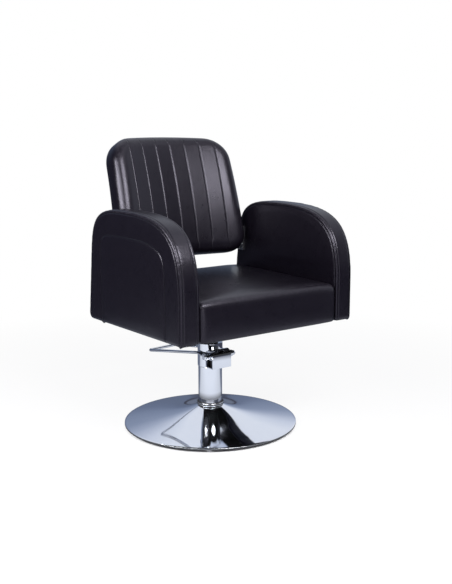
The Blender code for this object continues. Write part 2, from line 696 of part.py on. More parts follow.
def seat_swell(x, y):
    """Rise of the top towards the rear, and its crown away from the edges."""
    back = (y - SEAT_FRONT) / (SEAT_REAR - SEAT_FRONT)
    across = x / SEAT_HALF_WIDTH
    along = 2 * back - 1
    return SEAT_RISE * back + SEAT_CROWN * max(1 - across**2, 0) ** 0.7 * max(1 - along**2, 0) ** 0.7


def make_seat(axis, leather, wood, cuts):
    """Box cushion with a crowned top and a soft upper edge, hollowed for board and rails."""
    levels = [(SEAT_SKIRT, SEAT_BOTTOM), (0, SEAT_BOTTOM + SEAT_SKIRT)]
    levels += [(SEAT_DRAWN_IN, SEAT_BOTTOM + SEAT_HEIGHT / 2)]
    levels += [(SEAT_EDGE * (1 - math.cos(t)), SEAT_TOP - SEAT_EDGE * (1 - math.sin(t)))
               for t in (math.radians(a) for a in (0, 25, 50, 75))]
    levels += [(SEAT_EDGE + (SEAT_REAR - SEAT_FRONT) * share, SEAT_TOP) for share in (0.0, 0.07, 0.16, 0.27, 0.39)]
    rings = []
    for inset, height in levels:
        corner = max(SEAT_CORNER - inset, SEAT_SKIRT)
        outline = rounded_box(SEAT_HALF_WIDTH - inset, SEAT_FRONT + inset, SEAT_REAR - inset, corner, 4)
        lift = (height - SEAT_BOTTOM) / SEAT_HEIGHT
        rings.append([(x, y, height + lift * seat_swell(x, y)) for x, y in outline])
    cushion = finish("seat_cushion", loft(rings), leather, axis)
    hollow = plate(board_outline(GAP), SEAT_BOTTOM - BOARD_THICKNESS, BOARD_TOP + GAP)
    combine(cushion, finish("cutter_seat_board", hollow, None, axis))
    for side, name in ((-1, "left"), (1, "right")):
        rail = finish(f"seat_rail_{name}", block(*rail_box(side, 0)), wood, axis)
        combine(rail, cuts[name])
        low, high = rail_box(side, GAP)
        low = (low[0], low[1], BOARD_TOP - GAP)
        combine(cushion, finish(f"cutter_rail_{name}", block(low, high), None, axis))
        combine(cushion, cuts[name])


# Arms


def arm_outline(inset, bottom):
    """Side view of an arm as (y, z) points, drawn in by an inset."""
    front = ARM_FRONT + inset
    top = ARM_TOP - inset
    rear = (ARM_REAR_Y - inset, ARM_REAR_Z)
    crest = (ARM_CREST_Y, top)
    rise = (top - ARM_FRONT_STRAIGHT) / (ARM_TOP - ARM_FRONT_STRAIGHT)
    reach = (ARM_CREST_Y - front) / (ARM_CREST_Y - ARM_FRONT)
    depth = (rear[0] - ARM_CREST_Y) / (ARM_REAR_Y - ARM_CREST_Y)
    fall = (top - ARM_REAR_Z) / (ARM_TOP - ARM_REAR_Z) * ARM_REAR_HANDLE
    brow = bezier(
        (front, ARM_FRONT_STRAIGHT),
        (front, ARM_FRONT_STRAIGHT + rise * ARM_FRONT_HANDLE),
        (ARM_CREST_Y - reach * ARM_CREST_FRONT_HANDLE, top),
        crest, 12)
    nape = bezier(
        crest,
        (ARM_CREST_Y + depth * ARM_CREST_REAR_HANDLE, top),
        (rear[0] - fall * math.sin(ARM_REAR_LEAN), rear[1] + fall * math.cos(ARM_REAR_LEAN)),
        rear, 9)
    foot = rear[0] + (ARM_REAR_Z - bottom) * math.tan(ARM_REAR_LEAN)
    heel_radius = max(ARM_REAR_CORNER - inset, ARM_FRONT_CORNER / 4)
    toe_radius = max(ARM_FRONT_CORNER - inset, ARM_FRONT_CORNER / 4)
    heel = arc((foot - heel_radius, bottom + heel_radius), heel_radius, 0, -90, 4)
    toe = arc((front + toe_radius, bottom + toe_radius), toe_radius, 270, 180, 3)
    down = between(rear, heel[0], 2)
    under = between(heel[-1], toe[0], 4)
    up = between(toe[-1], brow[0], 2)
    return brow + nape[1:] + down + heel + under + toe + up


def board_side(grow, bottom):
    return arm_outline(ARM_BOARD_INSET - grow, bottom)


def make_arm(side, name, axis, leather, wood, cuts):
    """Upholstered arm: rounded edges, a crowned outer face and a board pushed in from below."""
    outside = ARM_INSIDE + ARM_THICKNESS
    bow = [(a, ARM_EDGE * (1 - math.sin(math.radians(a))), ARM_EDGE * (1 - math.cos(math.radians(a))))
           for a in (0, 30, 60, 90)]
    profile = [(ARM_FLAT_INSET, outside + ARM_CROWN), (ARM_FLAT_INSET / 2, outside + 0.75 * ARM_CROWN)]
    profile += [(inset, outside - drop) for _, inset, drop in bow]
    profile += [(-ARM_CROWN / 3, ARM_MIDDLE)]
    profile += [(inset, ARM_INSIDE + drop) for _, inset, drop in reversed(bow)]
    rings = [[(side * x, y, z) for y, z in arm_outline(inset, ARM_BOTTOM + max(0, 0.4 * inset))]
             for inset, x in profile]
    pad = finish(f"arm_pad_{name}", loft(rings), leather, axis)
    half = ARM_BOARD_THICKNESS / 2
    board = slab(board_side(0, ARM_BOTTOM + ARM_BOARD_SUNK), ARM_MIDDLE - half, ARM_MIDDLE + half, side)
    hollow = slab(board_side(GAP, ARM_BOTTOM - ARM_EDGE), ARM_MIDDLE - half - GAP, ARM_MIDDLE + half + GAP, side)
    combine(pad, finish(f"cutter_arm_{name}", hollow, None, axis))
    combine(pad, cuts[name])
    combine(finish(f"arm_board_{name}", board, wood, axis), cuts[name])


def bolt_profile(head_radius, head_height, shank, length, grow):
    """Domed head at the start and a shank behind it."""
    dome = 0.4 * head_height
    return [(0, length + grow), (shank + grow, length + grow), (shank + grow, head_height + grow),
            (head_radius + grow, head_height + grow), (head_radius + grow, dome - grow),
            (0.6 * head_radius + grow, -grow), (0, -grow)]


def arm_bolts():
    """Name, start and profile sizes of each bolt of one side, from the middle outwards."""
    bolts = []
    for i, y in enumerate(ARM_BOLT_Y):
        start = RAIL_INNER + GAP
        sizes = (ARM_BOLT_HEAD_RADIUS, BOLT_HEAD_HEIGHT, BOLT_RADIUS, ARM_BOLT_END - start)
        bolts.append((f"arm_bolt_{{}}_{i + 1}", (start, y, ARM_BOLT_Z), sizes))
    for i, z in enumerate(BRACKET_BOLT_Z):
        start = bracket_face() - BRACKET_BOLT_HEAD_HEIGHT - GAP
        sizes = (BRACKET_BOLT_HEAD_RADIUS, BRACKET_BOLT_HEAD_HEIGHT, BRACKET_BOLT_RADIUS, ARM_BOLT_END - start)
        bolts.append((f"bracket_bolt_{{}}_{i + 1}", (start, BRACKET_BOLT_Y, z), sizes))
    return bolts


def make_arm_bolts(side, name, axis, steel):
    """The bolts of one side, and one cutter with all their holes."""
    holes = bmesh.new()
    mesh = bpy.data.meshes.new("holes")
    for title, (x, y, z), sizes in arm_bolts():
        bolt = along_x(turned(bolt_profile(*sizes, 0), 10), side * x, y, z, side)
        finish(title.format(name), bolt, steel, axis)
        hole = along_x(turned(bolt_profile(*sizes, GAP), 10), side * x, y, z, side)
        hole.to_mesh(mesh)
        hole.free()
        holes.from_mesh(mesh)
    bpy.data.meshes.remove(mesh)
    return finish(f"cutter_bolts_{name}", holes, None, axis)


# Backrest


def back_point(x, rise, depth):
    """Point of the backrest: across, up along its leaning arc, and in behind its front face."""
    lean = BACK_LEAN + rise / BACK_ARC_RADIUS
    y = BACK_BOTTOM_Y + BACK_ARC_RADIUS * (math.cos(BACK_LEAN) - math.cos(lean))
    z = BACK_BOTTOM_Z + BACK_ARC_RADIUS * (math.sin(lean) - math.sin(BACK_LEAN))
    hollow = x * x / (2 * BACK_HOLLOW_RADIUS)
    return Vector((x, y - hollow + depth * math.cos(lean), z - depth * math.sin(lean)))


def back_half_width(rise):
    return BACK_HALF_BOTTOM + (BACK_HALF_TOP - BACK_HALF_BOTTOM) * rise / BACK_LENGTH


def back_rows(inset):
    """(rise, half width) of each row across the rounded outline, drawn in by an inset."""
    turns = [math.radians(a) for a in (0, 30, 60, 90)]
    low = BACK_CORNER_BOTTOM - inset
    high = BACK_CORNER_TOP - inset
    rows = [(inset + low * (1 - math.cos(t)), low * (1 - math.sin(t))) for t in turns]
    top = [(BACK_LENGTH - inset - high * (1 - math.cos(t)), high * (1 - math.sin(t))) for t in reversed(turns)]
    middle = [(rows[-1][0] + (top[0][0] - rows[-1][0]) * k / 4, 0.0) for k in (1, 2, 3)]
    return [(rise, back_half_width(rise) - inset - cut) for rise, cut in rows + middle + top]


def back_grid(columns, inset, depth):
    """Rows of points; a column that would leave the outline is held inside it."""
    rows = []
    for rise, half in back_rows(inset):
        row = []
        for k, x in enumerate(columns):
            steps_in = min(k, len(columns) - 1 - k)
            limit = half - steps_in * COLUMN_SPACE
            across = math.copysign(min(abs(x), limit), x) if steps_in else math.copysign(half, x)
            sunk = depth(k, across, x) if callable(depth) else depth
            drop = BACK_TOP_ARCH * (rise / BACK_LENGTH) ** 3 * (across / BACK_HALF_TOP) ** 2
            row.append(back_point(across, rise - drop, sunk))
        rows.append(row)
    return rows


def border(grid):
    right = [row[-1] for row in grid[1:-1]]
    left = [row[0] for row in grid[1:-1]]
    return grid[0] + right + grid[-1][::-1] + left[::-1]


def back_body(columns, front, rings, rear):
    """Closed body: a front grid, rings of (inset, depth) round its edge, and a rear grid."""
    bm = bmesh.new()
    grids = [[[bm.verts.new(p) for p in row] for row in back_grid(columns, *face)] for face in (front, rear)]
    for grid in grids:
        for lower, upper in zip(grid, grid[1:]):
            for i in range(len(columns) - 1):
                bm.faces.new((lower[i], lower[i + 1], upper[i + 1], upper[i]))
    loops = [border(grids[0])]
    loops += [[bm.verts.new(p) for p in border(back_grid(columns, *ring))] for ring in rings]
    loops.append(border(grids[1]))
    count = len(loops[0])
    for first, second in zip(loops, loops[1:]):
        for i in range(count):
            j = (i + 1) % count
            bm.faces.new((first[i], first[j], second[j], second[i]))
    return bm


def channel_columns():
    """Columns across the cushion: both lips and the bottom of each sewn line, and the crowns between."""
    middle = (CHANNEL_COUNT - 1) / 2
    lines = [(i - middle) * CHANNEL_PITCH for i in range(CHANNEL_COUNT)]
    columns = [x + offset for x in lines for offset in (-CHANNEL_LIP, 0.0, CHANNEL_LIP)]
    columns += [x + CHANNEL_PITCH / 2 for x in lines[:-1]]
    outer = (lines[-1] + BACK_HALF_TOP) / 2
    columns += [-BACK_HALF_BOTTOM, -outer, outer, BACK_HALF_BOTTOM]
    return sorted(columns), lines


def make_back(axis, leather, wood):
    """Cushion with sewn channels and a hollow rear that holds the board and the rear panel."""
    columns, lines = channel_columns()

    def channel(k, across, x):
        if abs(across - x) > GAP or k in (0, len(columns) - 1):
            return 0.0
        nearest = min(abs(x - line) for line in lines)
        if nearest < CHANNEL_LIP / 2:
            return CHANNEL_DEPTH
        return -CHANNEL_CROWN if nearest > CHANNEL_LIP * 1.5 else 0.0

    bow = [math.radians(a) for a in (30, 60, 90)]
    rings = [(BACK_FRONT_EDGE * (1 - math.sin(t)), BACK_FRONT_EDGE * (1 - math.cos(t))) for t in bow]
    rear_start = BACK_THICKNESS - BACK_REAR_EDGE
    rings += [(-BACK_SIDE_CROWN, (BACK_FRONT_EDGE + rear_start) / 2)]
    rings += [(BACK_REAR_EDGE * (1 - math.cos(t)), rear_start + BACK_REAR_EDGE * math.sin(t))
              for t in (0.0, math.radians(45), math.radians(90))]
    rings += [(BACK_POCKET_INSET, BACK_THICKNESS)]
    cushion = back_body(columns, (BACK_FRONT_EDGE, channel), rings, (BACK_POCKET_INSET, BACK_POCKET_DEPTH))
    finish("back_cushion", cushion, leather, axis)
    inset = BACK_POCKET_INSET + GAP
    coarse = [BACK_HALF_BOTTOM * k / 5 for k in range(-5, 6)]
    high = BACK_BOARD_DEPTH + BACK_BOARD_THICKNESS
    board = back_body(coarse, (inset, BACK_BOARD_DEPTH), [], (inset, high))
    finish("back_board", board, wood, axis)
    high = BACK_THICKNESS + BACK_PANEL_PROUD
    edge = BACK_PANEL_EDGE
    rings = [(inset, high - edge / 2), (inset + edge / 3, high - edge / 8)]
    panel = back_body(coarse, (inset, BACK_PANEL_DEPTH), rings, (inset + edge, high))
    finish("back_panel", panel, leather, axis)


# Brackets


def bracket_face():
    """Inner face of the plate that lies on the arm."""
    return ARM_INSIDE - GAP - BRACKET_THICKNESS


def make_bracket(side, name, axis, steel, cuts):
    """Steel strip bent from the rear of the backrest to the inner face of the arm."""
    middle = ARM_INSIDE - GAP - BRACKET_THICKNESS / 2
    depth = BACK_THICKNESS + BACK_PANEL_PROUD + 3 * GAP + BRACKET_THICKNESS / 2
    rings = []
    for rise in (BRACKET_LOW, (BRACKET_LOW + BRACKET_HIGH) / 2, BRACKET_HIGH):
        path = [back_point(x, rise, depth) for x in (BRACKET_INNER, (BRACKET_INNER + BRACKET_BEND) / 2, BRACKET_BEND)]
        height = path[-1].z
        turn = back_point(middle, rise, depth)
        path += [turn, Vector((middle, BRACKET_FRONT, height))]
        rings.append([(side * p.x, p.y, p.z) for p in strip(path, BRACKET_THICKNESS)])
    bracket = finish(f"back_bracket_{name}", loft(rings), steel, axis)
    combine(bracket, cuts[name])


def strip(path, thickness):
    """Outline of a strip of even thickness about a line in plan."""
    left, right = [], []
    for i, point in enumerate(path):
        before = (point - path[i - 1]).to_2d().normalized() if i else None
        after = (path[i + 1] - point).to_2d().normalized() if i + 1 < len(path) else None
        first = before or after
        second = after or before
        normals = [Vector((-d.y, d.x)) for d in (first, second)]
        mitre = (normals[0] + normals[1]).normalized()
        mitre *= thickness / 2 / mitre.dot(normals[0])
        left.append(point + mitre.to_3d())
        right.append(point - mitre.to_3d())
    return left + right[::-1]


def main():
    clear_scene()
    chrome = make_material("chrome", (0.80, 0.82, 0.85), 0.06, 1.0)
    steel = make_material("steel", (0.55, 0.56, 0.58), 0.30, 1.0)
    iron = make_material("cast_iron", (0.05, 0.05, 0.055), 0.60, 0.6)
    bronze = make_material("bronze", (0.60, 0.42, 0.20), 0.35, 1.0)
    leather = make_material("black_leatherette", (0.020, 0.020, 0.023), 0.42, 0.0)
    cloth = make_material("dust_cloth", (0.015, 0.015, 0.015), 0.90, 0.0)
    rubber = make_material("black_rubber", (0.020, 0.020, 0.020), 0.70, 0.0)
    pale = make_material("pale_plastic", (0.72, 0.74, 0.76), 0.35, 0.0)
    wood = make_material("plywood", (0.52, 0.38, 0.22), 0.65, 0.0)

    make_base_dish(chrome)
    make_base_weight(iron)
    make_feet(pale)
    make_column_ring(chrome)
    make_column(chrome, steel)
    make_pump_head(chrome)
    make_gland(rubber)
    make_return_spring(steel)

    plunger_axis = make_axis("plunger_axis", (0, PLUNGER_Y, PLUNGER_TOP))
    make_plunger(plunger_axis, steel)
    lever_axis = make_axis("lever_axis", (0, SHAFT_Y, SHAFT_Z))
    make_lever(lever_axis, chrome, steel)
    lift_axis = make_axis("lift_axis", (0, 0, PISTON_BOTTOM))
    make_piston(lift_axis, steel, rubber, bronze)

    swivel_axis = make_axis("swivel_axis", (0, 0, RAM_BOTTOM), lift_axis)
    make_seat_carrier(swivel_axis, chrome, steel, cloth, wood)
    sides = {"left": -1, "right": 1}
    cuts = {name: make_arm_bolts(side, name, swivel_axis, steel) for name, side in sides.items()}
    make_seat(swivel_axis, leather, wood, cuts)
    for name, side in sides.items():
        make_arm(side, name, swivel_axis, leather, wood, cuts)
        make_bracket(side, name, swivel_axis, steel, cuts)
    make_back(swivel_axis, leather, wood)


main()
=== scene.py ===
"""Salon styling chair: upholstery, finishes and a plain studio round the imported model, in metres."""

import math

import bmesh
import bpy
import numpy as np
from mathutils import Matrix, Vector


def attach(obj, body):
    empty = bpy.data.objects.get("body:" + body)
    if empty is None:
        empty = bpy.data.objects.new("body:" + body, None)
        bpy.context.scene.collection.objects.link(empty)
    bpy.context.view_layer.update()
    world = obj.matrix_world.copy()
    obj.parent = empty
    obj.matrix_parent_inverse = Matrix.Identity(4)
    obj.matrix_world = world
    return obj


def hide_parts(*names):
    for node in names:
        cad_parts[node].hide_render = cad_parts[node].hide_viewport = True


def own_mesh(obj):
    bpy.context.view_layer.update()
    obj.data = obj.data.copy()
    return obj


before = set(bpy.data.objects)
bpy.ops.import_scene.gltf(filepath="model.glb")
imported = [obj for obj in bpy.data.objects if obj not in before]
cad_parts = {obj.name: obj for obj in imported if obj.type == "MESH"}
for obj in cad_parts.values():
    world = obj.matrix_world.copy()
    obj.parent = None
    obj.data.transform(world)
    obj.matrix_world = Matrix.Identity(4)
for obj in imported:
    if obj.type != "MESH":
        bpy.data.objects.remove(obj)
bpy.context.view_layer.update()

# Arms: side outline, thickness and seams
ARM_INSIDE = 0.267
ARM_THICKNESS = 0.068
ARM_OUTSIDE = ARM_INSIDE + ARM_THICKNESS
ARM_FRONT = -0.323
ARM_BOTTOM = 0.370
ARM_TOP = 0.7385
ARM_CREST_Y = 0.018
ARM_FRONT_STRAIGHT = 0.505
ARM_FRONT_HANDLE = 0.212
ARM_CREST_FRONT_HANDLE = 0.229
ARM_CREST_REAR_HANDLE = 0.166
ARM_REAR = (0.1985, 0.561)
ARM_REAR_HANDLE = 0.118
ARM_REAR_LEAN = math.radians(5.7)
ARM_HEEL = 0.019
ARM_TOE = 0.009
ARM_EDGE = 0.010
ARM_STRIP = 0.0105
ARM_STRIP_RAISE = 0.0010
ARM_FACE_BAND = 0.006
ARM_FACE_SEAM = [
    (0.131, 0.370), (0.131, 0.600), (0.126, 0.630), (0.112, 0.648), (0.085, 0.656), (0.0, 0.6575),
    (-0.106, 0.656), (-0.161, 0.650), (-0.214, 0.633), (-0.232, 0.612), (-0.239, 0.585), (-0.242, 0.540),
    (-0.242, 0.370),
]
# Depth and width of the grooves along the seams
STRIP_GROOVE = (0.0011, 0.0022)
FACE_GROOVE = (0.0012, 0.0024)
STRIP_PUCKER = (0.00014, 0.006)
PUCKER_RATES = (520, 173, 811)
ARM_STRIP_RISE = (0.001, 0.007)
# Sewn ends that hang under the arm: place along the arm and width of each, and how far they hang
SEAM_TAILS = ((0.131, 0.006), (-0.313, 0.008))
SEAM_TAIL_DROP = 0.005
SEAM_TAIL_HEIGHT = 0.012
SEAM_TAIL_EDGE = (ARM_OUTSIDE - 0.016, ARM_OUTSIDE - 0.006)
# Above the seat and ahead of the backrest the arm's inner face may swell by a little
ARM_SEAT_LINE = 0.535
ARM_BACK_LINE = 0.12
ARM_INNER_SWELL = 0.0015
ARM_INNER_HEIGHTS = (0.53, 0.56)
ARM_INNER_DEPTHS = (0.08, 0.12)
ARM_SWELL = 0.0035

# Seat
SEAT_HALF_WIDTH = 0.2664
SEAT_FRONT = -0.323
SEAT_REAR = 0.182
SEAT_BOTTOM = 0.371
SEAT_HEIGHT = 0.125
SEAT_TOP = SEAT_BOTTOM + SEAT_HEIGHT
SEAT_CROWN = 0.009
SEAT_CROWN_POWER = 0.7
SEAT_RISE = 0.010
SEAT_EDGE = 0.022
SEAT_CORNER = 0.012
SEAT_FOOT_ROUND = 0.006
SEAT_FRONT_FULLNESS = 0.005
SEAT_FRONT_POWER = 8
SEAT_FRONT_REACH = 0.04
SEAT_SWELL = 0.0025

# Backrest, drawn flat as (across, depth, rise) and then bent to its leaning, hollow form
BACK_BOTTOM_Y = 0.1443
BACK_BOTTOM_Z = 0.556
BACK_LENGTH = 0.428
BACK_LEAN = math.radians(6.5)
BACK_ARC_RADIUS = 1.600
BACK_HOLLOW_RADIUS = 0.605
BACK_HALF_BOTTOM = 0.252
BACK_HALF_TOP = 0.234
BACK_CORNER_BOTTOM = 0.068
BACK_CORNER_TOP = 0.080
BACK_TOP_ARCH = 0.008
BACK_THICKNESS = 0.095
BACK_FRONT_EDGE = 0.042
BACK_REAR_EDGE = 0.018
BACK_SWELL = 0.0035
CHANNEL_PITCH = 0.058
CHANNEL_COUNT = 7
CHANNEL_DEPTH = 0.0014
CHANNEL_LIP = 0.0038
CHANNEL_POWER = 1.6
CHANNEL_PUCKER = 0.25
CHANNEL_PUCKER_RATES = (640, 211, 40)
CHANNEL_HELD = 0.004
CHANNEL_HELD_FROM = 0.3
CHANNEL_SEAM_FROM = (0.05, 0.35)
# Spans over which the sewn lines fade: above the foot, below the top and from the front
CHANNEL_FOOT = (0.020, 0.110)
CHANNEL_HEAD = (BACK_LENGTH - 0.050, BACK_LENGTH - 0.024)
CHANNEL_FRONT = (0.004, 0.016)
PANEL_INSET = 0.0213
PANEL_DEPTHS = (0.0870, 0.0970)
PANEL_EDGE = 0.006
# Only this much of the panel, behind, is left free to swell
PANEL_SKIN = 0.003
PANEL_SWELL = 0.003
PANEL_PRESSURE = 2.0
# Where the side brackets lie on the rear panel, which stays flat under them
BRACKET_HELD = (0.176, 0.118)
BRACKET_SIDE = (0.165, 0.180)
BRACKET_HEAD = (0.110, 0.125)

# Screws in the side brackets, placed like the backrest, and their outline as (radius, height)
FLANGE_SCREW_ACROSS = 0.216
FLANGE_SCREW_RISES = (0.034, 0.084)
FLANGE_DEPTH = 0.1018
SCREW_HEAD = [
    (0, 0.0012), (0.0022, 0.0012), (0.0022, 0.0028), (0.0044, 0.0024), (0.0058, 0.0010), (0.0058, 0), (0, 0),
]

# Covers
COVER_VOXEL = 0.005
SEAT_VOXEL = 0.006
SWELL_PRESSURE = 4.0
SWELL_FRAMES = 20
EVEN_ROUNDS = 30
NO_SEAM = 0.02
STITCH_LENGTH = 0.005
# How near to a seam or to these faces the points of a cover are held while it swells
SEAM_HELD = 0.0035
ARM_INSIDE_HELD = 0.002
ARM_FOOT_HELD = 0.003
SEAT_SIDE_HELD = 0.001
SEAT_FOOT_HELD = 0.004
BACK_REAR_HELD = 0.004
# Rubbed edges: where their middle lies, their width, and the heights over which they come in
ARM_WEAR = (-0.007, 0.006)
ARM_WEAR_HEIGHTS = (0.55, 0.70)
SEAT_WEAR = (SEAT_FRONT + 0.02, 0.02)
SEAT_WEAR_HEIGHT = 0.48
BACK_WEAR = (0.012, 0.010)
BACK_WEAR_HEIGHTS = (0.30, 0.40)

# Pedestal
BASE_RADIUS = 0.290
BASE_BOTTOM = 0.0083
RIM_TOP = 0.0133
RIM_ROUND = 0.0006
SHEET = 0.002
NECK_RADIUS = 0.0403
DISH_RISE = 0.055
DISH_CONE = 0.70
DISH_FLARE = 5
DISH_RINGS = 56
DISH_SPACING = 1.4
DISH_STEPS = 160
COLUMN_RADIUS = 0.040
COLUMN_WALL = 0.003
COLUMN_BOTTOM = 0.0146
COLUMN_TOP = 0.213
COLUMN_STEPS = 128
RING_BEAD = 0.0025
RING_MIDDLE = 0.0434
RING_GAP = 0.0003
# Faces of the ring that get black rubber as painted shade, in bead radii above the middle of the lower bead
RING_PAINTED_SHADE_GROOVE = (0.35, 1.65)
RING_PAINTED_SHADE_FOOT = -0.6
RING_PAINTED_SHADE_HEAD = 2.75
# Corners of the space inside the window in the side of the pump block, whose faces get dark iron as painted
# shade
WINDOW_LOW = Vector((-0.0374, -0.0633, 0.2087))
WINDOW_HIGH = Vector((-0.0250, -0.0342, 0.2343))
FINE_EDGE = 0.0004
SHARP_ANGLE = 38
SPUN_SHARP_ANGLE = 50
SMALL_SHARP_ANGLE = 40

# Camera, fitted to the photograph: focal length and picture height in pixels
CAMERA_PLACE = (-1.6247, -2.2383, 0.9457)
CAMERA_TURN = math.radians(-37.09)
CAMERA_TILT = math.radians(10.14)
CAMERA_ROLL = math.radians(-0.10)
FOCAL_PIXELS = 846.85
PICTURE_PIXELS = 584
SENSOR_MM = 36

# Lamps: name, place, target, size and power in watts
LAMPS = (
    ("overhead", (-0.1, -1.0, 2.4), (-0.1, -0.3, 0.6), (3.0, 1.4), 9),
    ("front", (-0.15, -1.5, 1.68), (-0.05, 0, 0.72), (1.3, 0.65), 46),
    ("left", (-1.75, 0.05, 1.25), (0, 0, 0.7), (1.1, 0.5), 33),
    ("left_front", (-1.9, -0.95, 1.45), (0, 0, 0.7), (1.0, 0.5), 19),
    ("low_front", (-0.65, -2.2, 0.62), (-0.2, -0.3, 0.5), (0.7, 0.4), 3),
)

# The studio as the metal mirrors it: colours from the horizon up, read higher to the right and the front
ROOM_COLOURS = (
    (0.0, (0.13, 0.16, 0.24)), (0.07, (0.15, 0.185, 0.28)), (0.14, (0.205, 0.25, 0.36)),
    (0.26, (0.26, 0.31, 0.43)), (0.33, (0.38, 0.43, 0.56)), (0.43, (0.64, 0.69, 0.81)),
    (0.52, (0.78, 0.82, 0.91)), (1.0, (0.78, 0.81, 0.88)),
)
ROOM_TILT = (0.40, -0.30, 0)
TO_FRONT_LEFT = (-0.60, -0.80, 0)
TO_LEFT = (-1, 0, 0)
# Directions in which the studio darkens: start and end of the fade, and the least strength
ROOM_DARK_SIDES = ((TO_FRONT_LEFT, -0.15, 0.25, 0.06), (TO_LEFT, 0.10, 0.45, 0.30))
EVEN_LIGHT = (0.24, 0.24, 0.29)
# Floor: spans of distance from the column over which its look changes, to the eye and in the metal; by the
# rim its glow in the metal holds a painted shadow
FLOOR_SIZE = 40.0
FLOOR_UNDER_RIM = (0.278, 0.294)
FLOOR_SHADED = (0.9, 2.0)
FLOOR_RIM_PAINTED_SHADOW = (0.32, 0.41)
FLOOR_FAR = (1.25, 1.8)
# The floor's painted glow in the metal: colours behind and before the chair, with painted shade behind, and
# far off, painted dark to the sides and painted light ahead
FLOOR_BEHIND = (-0.30, -0.12)
FLOOR_NEAR_COLOURS = ((0.15, 0.18, 0.26), (0.74, 0.78, 0.87))
FLOOR_FACING = (0.70, 0.92)
FLOOR_FAR_COLOURS = ((0.05, 0.055, 0.085), (0.90, 0.91, 1.00))


# Making and placing pieces


def link(name, data):
    obj = bpy.data.objects.new(name, data)
    bpy.context.scene.collection.objects.link(obj)
    return obj


def from_bmesh(name, bm):
    bmesh.ops.remove_doubles(bm, verts=bm.verts, dist=1e-6)
    bmesh.ops.recalc_face_normals(bm, faces=bm.faces)
    mesh = bpy.data.meshes.new(name)
    bm.to_mesh(mesh)
    bm.free()
    return link(name, mesh)


def dress(obj, material, slot, body, *nodes, sharp=None):
    """Gives a finished piece its material and its body, and hides the nodes that it stands for."""
    obj.data.materials.clear()
    obj.data.materials.append(material)
    obj.data.shade_smooth()
    if sharp:
        obj.data.set_sharp_from_angle(angle=math.radians(sharp))
    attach(obj, body)
    if nodes:
        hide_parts(*nodes)
    return obj


def bake(obj):
    """Applies the modifiers of a piece to its mesh."""
    graph = bpy.context.evaluated_depsgraph_get()
    mesh = bpy.data.meshes.new_from_object(obj.evaluated_get(graph))
    obj.modifiers.clear()
    plain = obj.data
    obj.data = mesh
    bpy.data.meshes.remove(plain)


def points_of(mesh):
    flat = np.empty(len(mesh.vertices) * 3, np.float32)
    mesh.vertices.foreach_get("co", flat)
    return flat.reshape(-1, 3).astype(float)


def normals_of(mesh):
    flat = np.empty(len(mesh.vertices) * 3, np.float32)
    mesh.vertex_normals.foreach_get("vector", flat)
    return flat.reshape(-1, 3).astype(float)


def move_points(mesh, points):
    mesh.vertices.foreach_set("co", points.astype(np.float32).ravel())
    mesh.update()


def note(mesh, name, values):
    """Keeps one number for each point, which the cover's material reads."""
    attribute = mesh.attributes.new(name, "FLOAT", "POINT")
    attribute.data.foreach_set("value", values.astype(np.float32))


def smooth_step(values, low, high):
    share = np.clip((values - low) / (high - low), 0, 1)
    return share * share * (3 - 2 * share)


def bell(values, width):
    """1 where the values are 0, falling off softly over a width."""
    return np.exp(-(values / width) ** 2)


# Upholstery: an even mesh, a cover that swells between its seams, then the seams themselves


def even_mesh(name, bm, voxel):
    obj = from_bmesh(name, bm)
    modifier = obj.modifiers.new("even_mesh", "REMESH")
    modifier.mode = "VOXEL"
    modifier.voxel_size = voxel
    bake(obj)
    return obj


def blow_up(obj, held, pressure):
    """Runs the cover as cloth under pressure from inside, with some points held."""
    group = obj.vertex_groups.new(name="held")
    group.add(np.nonzero(held)[0].tolist(), 1.0, "REPLACE")
    cloth = obj.modifiers.new("swell", "CLOTH")
    cloth.settings.quality = 4
    cloth.settings.mass = 0.3
    cloth.settings.tension_stiffness = 15
    cloth.settings.compression_stiffness = 15
    cloth.settings.shear_stiffness = 8
    cloth.settings.bending_stiffness = 2
    cloth.settings.use_pressure = True
    cloth.settings.uniform_pressure_force = pressure
    cloth.settings.vertex_group_mass = group.name
    cloth.settings.effector_weights.gravity = 0
    cloth.collision_settings.use_collision = False
    for step in range(1, SWELL_FRAMES + 1):
        bpy.context.scene.frame_set(step)
    bake(obj)
    obj.vertex_groups.clear()
    bpy.context.scene.frame_set(1)


def evened(mesh, values, held):
    """Values of the points averaged with their neighbours', with the held points at 0."""
    ends = np.empty(len(mesh.edges) * 2, np.int32)
    mesh.edges.foreach_get("vertices", ends)
    first, last = ends.reshape(-1, 2).T
    size = len(values)
    neighbours = np.maximum(np.bincount(ends, minlength=size), 1)
    for _ in range(EVEN_ROUNDS):
        around = np.bincount(first, values[last], size) + np.bincount(last, values[first], size)
        values = 0.4 * values + 0.6 * around / neighbours
        values[held] = 0
    return values


def swell(obj, held, cap, pressure=SWELL_PRESSURE):
    """Swells the cover like stuffed cloth between its held points, evened out and no further than a cap."""
    before = points_of(obj.data)
    outward = normals_of(obj.data)
    blow_up(obj, held, pressure)
    rise = np.clip(((points_of(obj.data) - before) * outward).sum(axis=1), -cap, cap)
    rise[held] = 0
    rise = evened(obj.data, rise, held)
    move_points(obj.data, before + outward * rise[:, None])


def settle(obj, rounds):
    """Evens out the cover and divides its mesh once."""
    bm = bmesh.new()
    bm.from_mesh(obj.data)
    for _ in range(rounds):
        bmesh.ops.smooth_vert(bm, verts=bm.verts, factor=0.5,
                              use_axis_x=True, use_axis_y=True, use_axis_z=True)
    bm.to_mesh(obj.data)
    bm.free()
    modifier = obj.modifiers.new("divide", "SUBSURF")
    modifier.levels = 1
    modifier.render_levels = 1
    bake(obj)


def bezier(p0, p1, p2, p3, steps):
    share = np.linspace(0, 1, steps + 1)[:, None]
    rest = 1 - share
    p0, p1, p2, p3 = (np.array(p) for p in (p0, p1, p2, p3))
    return rest**3 * p0 + 3 * share * rest**2 * p1 + 3 * share**2 * rest * p2 + share**3 * p3


